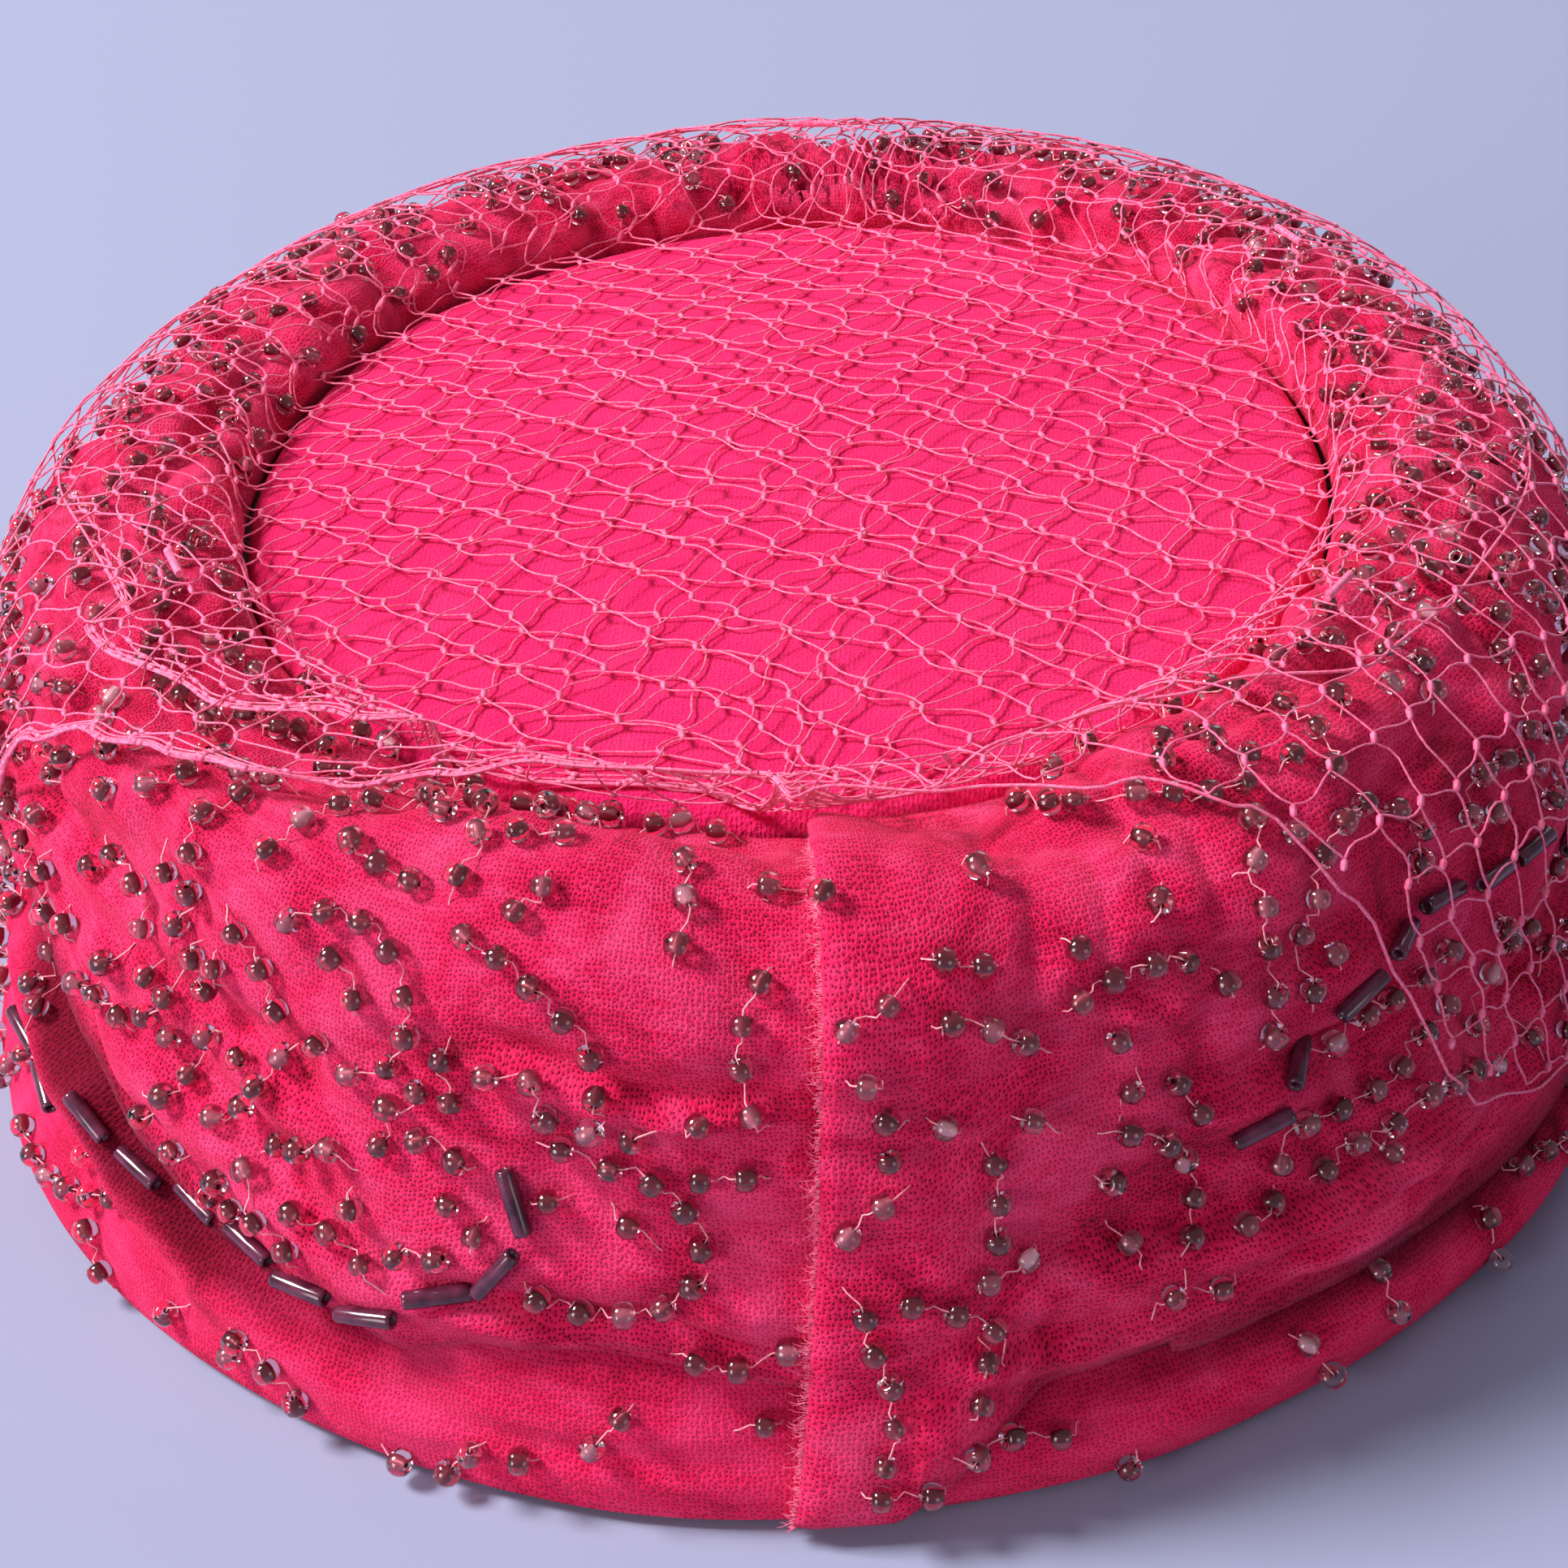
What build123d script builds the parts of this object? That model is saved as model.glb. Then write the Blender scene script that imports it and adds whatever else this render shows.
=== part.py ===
"""Draped velvet pillbox headpiece with a veil and sewn glass beads, in millimetres.

The rim of the hat stands on Z = 0 and +Z points at its crown.  The wearer faces +Y,
so the lapped end of the drape, at the back of the hat, is on the -Y side.  The head
line is an ellipse round Z.  Every band runs round it, so a section is drawn as (d, z):
d is the distance outward from the head line and z is the height above the rim.
"""
import math
import os
import random

from build123d import *

# ---- driving dimensions -------------------------------------------------------
HEAD_WIDTH = 166.0          # inside the headband, ear to ear
HEAD_LENGTH = 179.0         # inside the headband, forehead to nape
LAYER_GAP = 0.3             # air between two layers that are sewn together

WALL_HEIGHT = 46.0          # buckram side wall, up to the crown plate
WALL_LEAN = 8.5             # how far the wall leans in over that height
WALL_THICKNESS = 1.2
PLATE_THICKNESS = 1.2
WIRE_DIAMETER = 1.2
WIRE_LIFT = 1.0             # wire above the foot of the wall, or below its top

RIBBON_WIDTH = 25.0
RIBBON_THICKNESS = 0.6
LINING_THICKNESS = 0.4
LINING_SEAM = 1.5           # from the top of the side lining to the lining tip

CROWN_WADDING = 3.5         # at the edge of the crown
CROWN_RADIUS = 620.0        # radius of the domed top of the crown
CROWN_INSET = 25.3          # from the head line in to the edge of the velvet crown
CROWN_CLOTH = 1.5           # thickness of the crown velvet
DRAPE_CLOTH = 1.6           # thickness of the draped velvet, folded on itself

ROLL_CREST = 17.5           # from the head line in to the crest of the padded roll
ROLL_INNER = 24.9           # from the head line in to the inner wall of the roll
ROLL_HEIGHT = 58.5          # crest above the rim
ROLL_RADIUS = 17.7          # round of the outer shoulder
ROLL_INNER_RISE = 7.0       # height of the round between inner wall and crest
FOLD_HEIGHT = 16.0          # lower fold of the drape above the rim
DRAPE_FLARE = 14.1          # degrees that the drape leans out below the shoulder

BAND_TOP = 18.4             # top edge of the base band, tucked under the fold
BAND_TOP_OUT = 4.2          # and its distance outside the head line
RIM_OUT = 9.5               # outer edge of the rim outside the head line
RIM_ROUND = 1.2
RIM_TRIM = 0.3              # cut off below the rim to make it flat
RIM_TURNING = 1.4           # where the turned-in rim ends, outside the head line

LAP_PROUD = 1.8             # how far the lapped end stands off the drape
LAP_FROM = -86.0            # degrees round the head line, 0 beside the right ear
LAP_TO = -71.0
LAP_LIFT = 0.4              # its lower end above the surface that the hat stands on

VEIL_THICKNESS = 0.4
VEIL_DOUBLED = 1.0          # two layers of it lie over the crown
VEIL_OVER_CROWN = 0.5
VEIL_OVER_BEADS = 0.4       # it rides on top of the beads on the roll
VEIL_INSET = 27.0           # from the head line in to the flat part of the veil
VEIL_HANG = 24.0            # lowest edge of the veil above the rim
VEIL_FROM = -46.0           # it falls over the roll from this angle, over the front,
VEIL_TO = 220.0             # to this one
TACK_DIAMETER = 0.8
TACK_LENGTH = 5.0
TACK_ANGLES = (-34.0, 30.0, 90.0, 150.0, 208.0)

BEAD_DIAMETER = 2.4
BEAD_LENGTH = 1.9
BEAD_HOLE = 0.9
BEAD_STANDOFF = 0.2         # air under a bead
BEAD_SPACING = 3.9          # along a sewn line
BEAD_CLEAR = 3.2            # least distance between the centres of two beads
BEAD_LINE_CELL = 9.2        # one sewn line starts in each cell of this size
BUGLE_DIAMETER = 1.7
BUGLE_LENGTH = 6.0
BUGLE_HOLE = 0.8
BUGLE_SPACING = 7.2

# Each line of bugle beads, as (degrees round the head, distance up the drape).
BUGLE_LINES = (
    ((-104.5, 19.0), (-103.0, 13.0), (-106.5, 6.0), (-113.0, 1.6), (-124.0, 1.6),
     (-138.0, 3.5), (-152.0, 8.0)),
    ((-61.0, 14.0), (-54.0, 20.5), (-47.0, 25.0), (-38.0, 24.0), (-22.0, 18.0),
     (-6.0, 14.0)),
)

# ---- sizes that follow --------------------------------------------------------
HALF_WIDTH = HEAD_WIDTH / 2
HALF_LENGTH = HEAD_LENGTH / 2
MEAN_HALF = (HALF_WIDTH + HALF_LENGTH) / 2
LAYER_FLOOR = DRAPE_CLOTH + LAYER_GAP             # inner layers stand on the turned rim
LINING_IN = RIBBON_THICKNESS + LAYER_GAP
WALL_IN = LINING_IN + LINING_THICKNESS + LAYER_GAP
WALL_OUT = WALL_IN + WALL_THICKNESS
PADDING_IN = WALL_OUT + WIRE_DIAMETER + 2 * LAYER_GAP
PLATE_BASE = WALL_HEIGHT + LAYER_GAP
PLATE_TOP = PLATE_BASE + PLATE_THICKNESS
CROWN_FLOOR = PLATE_TOP + LAYER_GAP
CROWN_EDGE = CROWN_FLOOR + CROWN_WADDING + LAYER_GAP + CROWN_CLOTH
TIP_TOP = WALL_HEIGHT - LAYER_GAP
ROLL_SPRING = ROLL_HEIGHT - ROLL_INNER_RISE       # where the inner round starts
SHOULDER_DROP = ROLL_HEIGHT - ROLL_RADIUS         # centre of the outer shoulder
FLARE = math.radians(DRAPE_FLARE)
SHOULDER_FOOT = Vector(-ROLL_CREST + ROLL_RADIUS * math.cos(FLARE),
                       SHOULDER_DROP + ROLL_RADIUS * math.sin(FLARE))
FALL_LENGTH = (SHOULDER_FOOT.Y - FOLD_HEIGHT) / math.cos(FLARE)
SHOULDER_LENGTH = ROLL_RADIUS * (math.pi / 2 - FLARE)
BAND_SLOPE = (RIM_OUT - BAND_TOP_OUT) / BAND_TOP
BAND_WIDE = DRAPE_CLOTH * math.hypot(1, BAND_SLOPE)
VEIL_OVER_ROLL = BEAD_STANDOFF + BEAD_DIAMETER + VEIL_OVER_BEADS


# ---- how the bands run round the head line --------------------------------------
def lean(z):
    """How far the leaning wall has moved at height z."""
    return -WALL_LEAN * z / WALL_HEIGHT


def outward(angle):
    """The direction straight out of the head line at this angle."""
    turn = math.radians(angle)
    return Vector(math.cos(turn) / HALF_WIDTH, math.sin(turn) / HALF_LENGTH).normalized()


def head_point(angle, out=0.0, z=0.0):
    """The point of the head line at this angle, moved outward, at height z."""
    turn = math.radians(angle)
    on_line = Vector(HALF_WIDTH * math.cos(turn), HALF_LENGTH * math.sin(turn), z)
    return on_line + outward(angle) * out


def head_path(start=None, end=None):
    """The head line, whole or between two angles, as a path to sweep along."""
    with BuildLine() as path:
        if start is None:
            EllipticalCenterArc((0, 0), HALF_WIDTH, HALF_LENGTH, 0, arc_size=360)
        else:
            steps = max(4, math.ceil((end - start) / 15))
            Spline(*[head_point(start + (end - start) * step / steps)
                     for step in range(steps + 1)])
    return path.wire()


def section_plane(path):
    """The plane of a (d, z) section at the start of the path."""
    along = path % 0
    return Plane(path @ 0, x_dir=(along.Y, -along.X, 0), z_dir=-along)


def sweep_band(corners, rounded=0.0):
    """Sweep a straight-sided section round the head; rounded is its outermost corner."""
    path = head_path()
    with BuildSketch(section_plane(path)) as section:
        with BuildLine():
            Polyline(*corners, close=True)
        make_face()
        if rounded:
            fillet(section.vertices().sort_by(Axis.X)[-1], radius=rounded)
    sweep(section.sketch, path=path)


def sweep_wire(out, z):
    """Sweep a round wire along the head line."""
    path = head_path()
    with BuildSketch(section_plane(path)) as section:
        with Locations((out, z)):
            Circle(WIRE_DIAMETER / 2)
    sweep(section.sketch, path=path)


def leaning_band(inner, outer, low, high):
    """Corners of a band that lies parallel to the leaning wall."""
    return [(inner + lean(low), low), (outer + lean(low), low),
            (outer + lean(high), high), (inner + lean(high), high)]


def over_roll(standoff, low, inner_turn=90.0, inner_low=None):
    """Draw the face of the drape, moved off by standoff, and return its two ends.

    It comes down outside the roll to the height low.  Inside, it turns through
    inner_turn degrees from the crest, and then runs straight down to inner_low.
    """
    inside = EllipticalCenterArc(
        (-ROLL_CREST, ROLL_SPRING), ROLL_INNER - ROLL_CREST + standoff,
        ROLL_INNER_RISE + standoff, 90, arc_size=inner_turn)
    inner_end = inside @ 1
    if inner_low is not None:
        inner_end = Vector(inner_end.X, inner_low)
        Line(inside @ 1, inner_end)
    shoulder = CenterArc((-ROLL_CREST, SHOULDER_DROP), ROLL_RADIUS + standoff,
                         DRAPE_FLARE, 90 - DRAPE_FLARE)
    foot = shoulder @ 0
    outer_end = Vector(foot.X + (foot.Y - low) * math.tan(FLARE), low)
    Line(foot, outer_end)
    return inner_end, outer_end


def domed_disc(inset, edge, radius, base, base_radius=0.0):
    """A disc inside the head line, domed on top, with a flat or a domed underside."""
    half_length = HALF_LENGTH - inset
    with BuildSketch(Plane.XY.offset(base)) as outline:
        Ellipse(HALF_WIDTH - inset, half_length)
    extrude(outline.sketch, amount=ROLL_HEIGHT)
    with Locations((0, 0, edge - math.sqrt(radius**2 - half_length**2))):
        Sphere(radius, mode=Mode.INTERSECT)
    if base_radius:
        with Locations((0, 0, base - math.sqrt(base_radius**2 - half_length**2))):
            Sphere(base_radius, mode=Mode.SUBTRACT)


def finish(builder, name):
    """Label a finished piece and write it to its own file."""
    builder.part.label = name
    export_step(builder.part, f"parts/{name}.step")


os.makedirs("parts", exist_ok=True)

# ---- stiff foundation -----------------------------------------------------------
with BuildPart() as side_wall:
    sweep_band(leaning_band(WALL_IN, WALL_OUT, LAYER_FLOOR, WALL_HEIGHT))
finish(side_wall, "side_wall")

with BuildPart() as crown_plate:
    with BuildSketch(Plane.XY.offset(PLATE_BASE)):
        edge_inset = -(WALL_OUT + lean(WALL_HEIGHT))
        Ellipse(HALF_WIDTH - edge_inset, HALF_LENGTH - edge_inset)
    extrude(amount=PLATE_THICKNESS)
finish(crown_plate, "crown_plate")

WIRE_OUT = WALL_OUT + LAYER_GAP + WIRE_DIAMETER / 2
FOOT_WIRE = LAYER_FLOOR + WIRE_LIFT
TOP_WIRE = WALL_HEIGHT - WIRE_LIFT

with BuildPart() as head_edge_wire:
    sweep_wire(WIRE_OUT + lean(FOOT_WIRE), FOOT_WIRE)
finish(head_edge_wire, "head_edge_wire")

with BuildPart() as crown_edge_wire:
    sweep_wire(WIRE_OUT + lean(TOP_WIRE), TOP_WIRE)
finish(crown_edge_wire, "crown_edge_wire")

# ---- lining and headband --------------------------------------------------------
with BuildPart() as headband_ribbon:
    sweep_band(leaning_band(0, RIBBON_THICKNESS, LAYER_FLOOR, LAYER_FLOOR + RIBBON_WIDTH))
finish(headband_ribbon, "headband_ribbon")

LINING_TOP = TIP_TOP - LINING_THICKNESS - LINING_SEAM

with BuildPart() as lining_side:
    sweep_band(leaning_band(LINING_IN, LINING_IN + LINING_THICKNESS, LAYER_FLOOR, LINING_TOP))
finish(lining_side, "lining_side")

HEM_OUT = LINING_IN - LAYER_GAP
HEM_LOW = LINING_TOP - 2 * LINING_SEAM
TIP_INSET = LAYER_GAP - WALL_IN - lean(WALL_HEIGHT)

with BuildPart() as lining_tip:
    with BuildSketch(Plane.XY.offset(TIP_TOP - LINING_THICKNESS)):
        Ellipse(HALF_WIDTH - TIP_INSET, HALF_LENGTH - TIP_INSET)
    extrude(amount=LINING_THICKNESS)
    # the edge of the tip turns down inside the side lining, where it is sewn
    sweep_band(leaning_band(HEM_OUT - LINING_THICKNESS, HEM_OUT, HEM_LOW,
                            TIP_TOP - LINING_THICKNESS / 2))
finish(lining_tip, "lining_tip")

# ---- padded crown ---------------------------------------------------------------
WADDING_INSET = CROWN_INSET + CROWN_CLOTH + LAYER_GAP
WADDING_EDGE = CROWN_FLOOR + CROWN_WADDING

with BuildPart() as crown_wadding:
    domed_disc(WADDING_INSET, WADDING_EDGE, CROWN_RADIUS, CROWN_FLOOR)
finish(crown_wadding, "crown_wadding")

# the space inside the velvet cap, for the wadding, open at the plate
with BuildPart() as cap_hollow:
    domed_disc(CROWN_INSET + CROWN_CLOTH, WADDING_EDGE + LAYER_GAP, CROWN_RADIUS, PLATE_TOP)

with BuildPart() as crown_velvet:
    domed_disc(CROWN_INSET, CROWN_EDGE, CROWN_RADIUS, CROWN_FLOOR)
    add(cap_hollow.part, mode=Mode.SUBTRACT)
finish(crown_velvet, "crown_velvet")

# ---- padding under the drape ----------------------------------------------------
def band_face(z):
    """Distance of the outer face of the base band from the head line."""
    return BAND_TOP_OUT + (BAND_TOP - z) * BAND_SLOPE


ROLL_PAD_LOW = BAND_TOP + 2 * LAYER_GAP
BAND_PAD_TOP = BAND_TOP - 3 * LAYER_GAP

with BuildPart() as roll_wadding:
    path = head_path()
    with BuildSketch(section_plane(path)) as section:
        with BuildLine():
            inner_end, outer_end = over_roll(
                -DRAPE_CLOTH - LAYER_GAP, ROLL_PAD_LOW, inner_low=CROWN_FLOOR)
            Polyline(
                inner_end,
                (PADDING_IN + lean(WALL_HEIGHT), CROWN_FLOOR),
                (PADDING_IN + lean(ROLL_PAD_LOW), ROLL_PAD_LOW),
                outer_end,
            )
        make_face()
    sweep(section.sketch, path=path)
finish(roll_wadding, "roll_wadding")

with BuildPart() as band_wadding:
    pad_out = BAND_WIDE + LAYER_GAP
    sweep_band([
        (PADDING_IN + lean(LAYER_FLOOR), LAYER_FLOOR),
        (band_face(LAYER_FLOOR) - pad_out, LAYER_FLOOR),
        (band_face(BAND_PAD_TOP) - pad_out, BAND_PAD_TOP),
        (PADDING_IN + lean(BAND_PAD_TOP), BAND_PAD_TOP),
    ])
finish(band_wadding, "band_wadding")

# ---- draped velvet --------------------------------------------------------------
with BuildPart() as base_band:
    sweep_band([
        (RIM_TURNING, -RIM_TRIM),
        (RIM_OUT, -RIM_TRIM),
        (BAND_TOP_OUT, BAND_TOP),
        (BAND_TOP_OUT - BAND_WIDE, BAND_TOP),
        (band_face(DRAPE_CLOTH) - BAND_WIDE, DRAPE_CLOTH),
        (RIM_TURNING, DRAPE_CLOTH),
    ], rounded=RIM_ROUND)
    # trimmed level, so that the hat stands on a truly flat ring
    split(bisect_by=Plane.XY, keep=Keep.TOP)
finish(base_band, "base_band")

LAP_INNER_TURN = 40.0       # how far the lapped end turns in over the crest
LAP_ROOT = 0.5              # depth at which it grows out of the drape

with BuildPart() as drape:
    path = head_path()
    with BuildSketch(section_plane(path)) as section:
        with BuildLine():
            face_ends = over_roll(0, FOLD_HEIGHT, inner_low=CROWN_FLOOR)
            back_ends = over_roll(-DRAPE_CLOTH, FOLD_HEIGHT, inner_low=CROWN_FLOOR)
            Line(face_ends[0], back_ends[0])
            Line(face_ends[1], back_ends[1])
        make_face()
    sweep(section.sketch, path=path)

    # the right-hand end of the drape laps over the left and runs down over the rim
    lap_path = head_path(LAP_FROM, LAP_TO)
    with BuildSketch(section_plane(lap_path)) as section:
        with BuildLine():
            face_ends = over_roll(LAP_PROUD, FOLD_HEIGHT, LAP_INNER_TURN)
            root_ends = over_roll(-LAP_ROOT, FOLD_HEIGHT, LAP_INNER_TURN)
            Line(face_ends[0], root_ends[0])
            Polyline(
                face_ends[1],
                (RIM_OUT + LAP_PROUD, LAP_LIFT),
                (RIM_OUT + LAYER_GAP, LAP_LIFT),
                root_ends[1],
            )
        make_face()
    sweep(section.sketch, path=lap_path)
finish(drape, "drape")

# ---- veil -----------------------------------------------------------------------
VEIL_BASE = CROWN_EDGE + VEIL_OVER_CROWN
VEIL_TURN = 74.0            # how far the fall turns in over the crest to the crown

with BuildPart() as veil:
    domed_disc(VEIL_INSET, VEIL_BASE + VEIL_DOUBLED, CROWN_RADIUS, VEIL_BASE, CROWN_RADIUS)
    fall_path = head_path(VEIL_FROM, VEIL_TO)
    with BuildSketch(section_plane(fall_path)) as section:
        with BuildLine():
            face_ends = over_roll(VEIL_OVER_ROLL + VEIL_THICKNESS, VEIL_HANG, VEIL_TURN,
                                  VEIL_BASE + VEIL_DOUBLED / 2)
            back_ends = over_roll(VEIL_OVER_ROLL, VEIL_HANG, VEIL_TURN,
                                  VEIL_BASE + VEIL_DOUBLED / 2)
            Line(face_ends[0], back_ends[0])
            Line(face_ends[1], back_ends[1])
        make_face()
    sweep(section.sketch, path=fall_path)
finish(veil, "veil")

with BuildPart() as veil_tacks:
    tack_height = (ROLL_HEIGHT + VEIL_OVER_ROLL + VEIL_THICKNESS + LAYER_GAP
                   + TACK_DIAMETER / 2)
    tack_planes = []
    for angle in TACK_ANGLES:
        across = outward(angle)
        spot = head_point(angle, -ROLL_CREST, tack_height)
        tack_planes.append(Plane(spot, z_dir=Vector(-across.Y, across.X, 0)))
    with Locations(*tack_planes):
        Cylinder(TACK_DIAMETER / 2, TACK_LENGTH)
finish(veil_tacks, "veil_tacks")

# ---- beads ----------------------------------------------------------------------
def drape_face(travel):
    """Point (d, z) and outward direction at a distance up the drape from its fold."""
    if travel < FALL_LENGTH:
        along = Vector(-math.sin(FLARE), math.cos(FLARE))
        foot = SHOULDER_FOOT - along * FALL_LENGTH
        return foot + along * travel, Vector(math.cos(FLARE), math.sin(FLARE))
    if travel > FALL_LENGTH + SHOULDER_LENGTH:
        wide, tall = ROLL_INNER - ROLL_CREST, ROLL_INNER_RISE
        turn = (travel - FALL_LENGTH - SHOULDER_LENGTH) * 2 / (wide + tall)
        spot = Vector(-ROLL_CREST - wide * math.sin(turn), ROLL_SPRING + tall * math.cos(turn))
        return spot, Vector(-math.sin(turn) / wide, math.cos(turn) / tall).normalized()
    turn = FLARE + (travel - FALL_LENGTH) / ROLL_RADIUS
    normal = Vector(math.cos(turn), math.sin(turn))
    return Vector(-ROLL_CREST, SHOULDER_DROP) + normal * ROLL_RADIUS, normal


def lap_face(travel):
    """The same on the lapped end, where travel may be negative below the fold."""
    if travel >= 0:
        spot, normal = drape_face(travel)
        return spot + normal * LAP_PROUD, normal
    top = drape_face(0)[0] + drape_face(0)[1] * LAP_PROUD
    foot = Vector(RIM_OUT + LAP_PROUD, LAP_LIFT)
    along = (top - foot).normalized()
    return top + along * travel, Vector(along.Y, -along.X)


def base_face(travel):
    """The same on the base band, from the rim up."""
    along = Vector(-BAND_SLOPE, 1).normalized()
    return Vector(RIM_OUT, 0) + along * travel, Vector(along.Y, -along.X)


def bead_plane(face, angle, travel, heading, radius):
    """Where a bead lies on a face, its hole along the heading of the sewn line."""
    spot, normal = face(travel)
    out, up = outward(angle), Vector(0, 0, 1)
    place = head_point(angle) + out * spot.X + up * spot.Y
    normal = out * normal.X + up * normal.Y
    level = Vector(-out.Y, out.X, 0)
    along = level * math.cos(heading) + normal.cross(level) * math.sin(heading)
    return Plane(place + normal * (radius + BEAD_STANDOFF), x_dir=normal, z_dir=along)


def bead_line(chance, angle, travel):
    """The (angle, travel, heading) of each bead on one wandering line of stitches."""
    heading = chance.uniform(0, 2 * math.pi)
    bend = chance.choice((-1, 1)) * chance.uniform(0.10, 0.42)
    swing = chance.uniform(-0.12, 0.12)
    for _ in range(chance.randint(6, 11)):
        yield angle, travel, heading
        heading += bend
        bend += swing * 0.5
        travel += BEAD_SPACING * math.sin(heading)
        angle += math.degrees(BEAD_SPACING * math.cos(heading) / MEAN_HALF)


def sew_beads(chance, face, angles, travels, taken):
    """Planes of the beads on one stretch of velvet, clear of those already taken."""
    planes = []
    columns = max(1, round(math.radians(angles[1] - angles[0]) * MEAN_HALF / BEAD_LINE_CELL))
    rows = max(1, round((travels[1] - travels[0]) / BEAD_LINE_CELL))
    for column in range(columns):
        for row in range(rows):
            start = angles[0] + (angles[1] - angles[0]) * (column + chance.random()) / columns
            rise = travels[0] + (travels[1] - travels[0]) * (row + chance.random()) / rows
            for angle, travel, heading in bead_line(chance, start, rise):
                inside = angles[0] <= angle <= angles[1] and travels[0] <= travel <= travels[1]
                if not inside:
                    continue
                plane = bead_plane(face, angle, travel, heading, BEAD_DIAMETER / 2)
                spot = plane.origin
                if all((spot - other).length > BEAD_CLEAR for other in taken):
                    taken.append(spot)
                    planes.append(plane)
    return planes


def glass_tube(diameter, hole, length):
    """One bead, upright at the origin."""
    Cylinder(diameter / 2, length)
    Cylinder(hole / 2, length, mode=Mode.SUBTRACT)


def bead_group(name, bead, planes):
    """Write one node that holds a separate copy of the bead at each plane."""
    group = Compound(children=[bead.part.moved(plane.location) for plane in planes])
    group.label = name
    export_step(group, f"parts/{name}.step")
    print(name, len(planes))


with BuildPart() as bugle_bead:
    glass_tube(BUGLE_DIAMETER, BUGLE_HOLE, BUGLE_LENGTH)

with BuildPart() as seed_bead:
    glass_tube(BEAD_DIAMETER, BEAD_HOLE, BEAD_LENGTH)


def bugle_planes(line):
    """Planes of the bugle beads laid end to end along one line of the drape."""
    knots = [Vector(math.radians(angle) * MEAN_HALF, travel) for angle, travel in line]
    with BuildLine() as thread:
        Spline(*knots)
    wire = thread.wire()
    count = int(wire.length / BUGLE_SPACING)
    for step in range(count):
        along = (step + 0.5) * BUGLE_SPACING / wire.length
        spot, way = wire @ along, wire % along
        yield bead_plane(drape_face, math.degrees(spot.X / MEAN_HALF), spot.Y,
                         math.atan2(way.Y, way.X), BUGLE_DIAMETER / 2)


bugles = [plane for line in BUGLE_LINES for plane in bugle_planes(line)]
bead_group("bugle_beads", bugle_bead, bugles)

# Seed beads keep clear of the bugles, which are longer, at both of their ends.
taken = []
for plane in bugles:
    for shift in (-0.5, 0.0, 0.5):
        taken.append(plane.origin + plane.z_dir * BUGLE_LENGTH * shift)

DRAPE_TOP = FALL_LENGTH + SHOULDER_LENGTH
EDGE_MARGIN = 1.6           # from the centre of a bead to the edge of its velvet
LAP_MARGIN = 1.4            # degrees from a bead to the edge of the lapped end
ROLL_START = DRAPE_TOP - 14.0
BAND_ROWS = (1.6, 12.4)
DRAPE_ROWS = (EDGE_MARGIN, ROLL_START)
ROLL_ROWS = (ROLL_START, DRAPE_TOP + 8.0)
BESIDE_LAP = (LAP_TO + LAP_MARGIN, 360 + LAP_FROM - LAP_MARGIN)
ON_LAP = (LAP_FROM + LAP_MARGIN, LAP_TO - LAP_MARGIN)
LAP_ROWS = (-13.0, DRAPE_TOP - 2.0)

chance = random.Random(1958)
bead_group("seed_beads_lap", seed_bead, sew_beads(chance, lap_face, ON_LAP, LAP_ROWS, taken))
for name, angles in (
    ("seed_beads_back_right", (BESIDE_LAP[0], -40.0)),
    ("seed_beads_right", (-40.0, 40.0)),
    ("seed_beads_front", (40.0, 140.0)),
    ("seed_beads_left", (140.0, 220.0)),
    ("seed_beads_back_left", (220.0, BESIDE_LAP[1])),
):
    bead_group(name, seed_bead, sew_beads(chance, drape_face, angles, DRAPE_ROWS, taken))
bead_group("seed_beads_roll", seed_bead,
           sew_beads(chance, drape_face, BESIDE_LAP, ROLL_ROWS, taken))
bead_group("seed_beads_rim", seed_bead,
           sew_beads(chance, base_face, BESIDE_LAP, BAND_ROWS, taken))
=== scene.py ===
# %% [markdown]
# # A draped velvet pillbox with beads and a veil
#
# This lesson finishes a small hat in Blender.  Its construction comes in from a packed
# CAD model: stiff buckram, wire, wadding, lining, and plain stand-ins for the velvet,
# the veil and the beads.  Here the soft pieces are modelled as cloth, net and glass,
# each in the place that the frame gives it.  The work is done in millimetres, and each
# mesh is put into metres as it is finished.

# %% Load the frame
import math
import random

import bmesh
import bpy
import numpy as np
from mathutils import Matrix, Vector, noise
from mathutils.bvhtree import BVHTree
from mathutils.kdtree import KDTree


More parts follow.
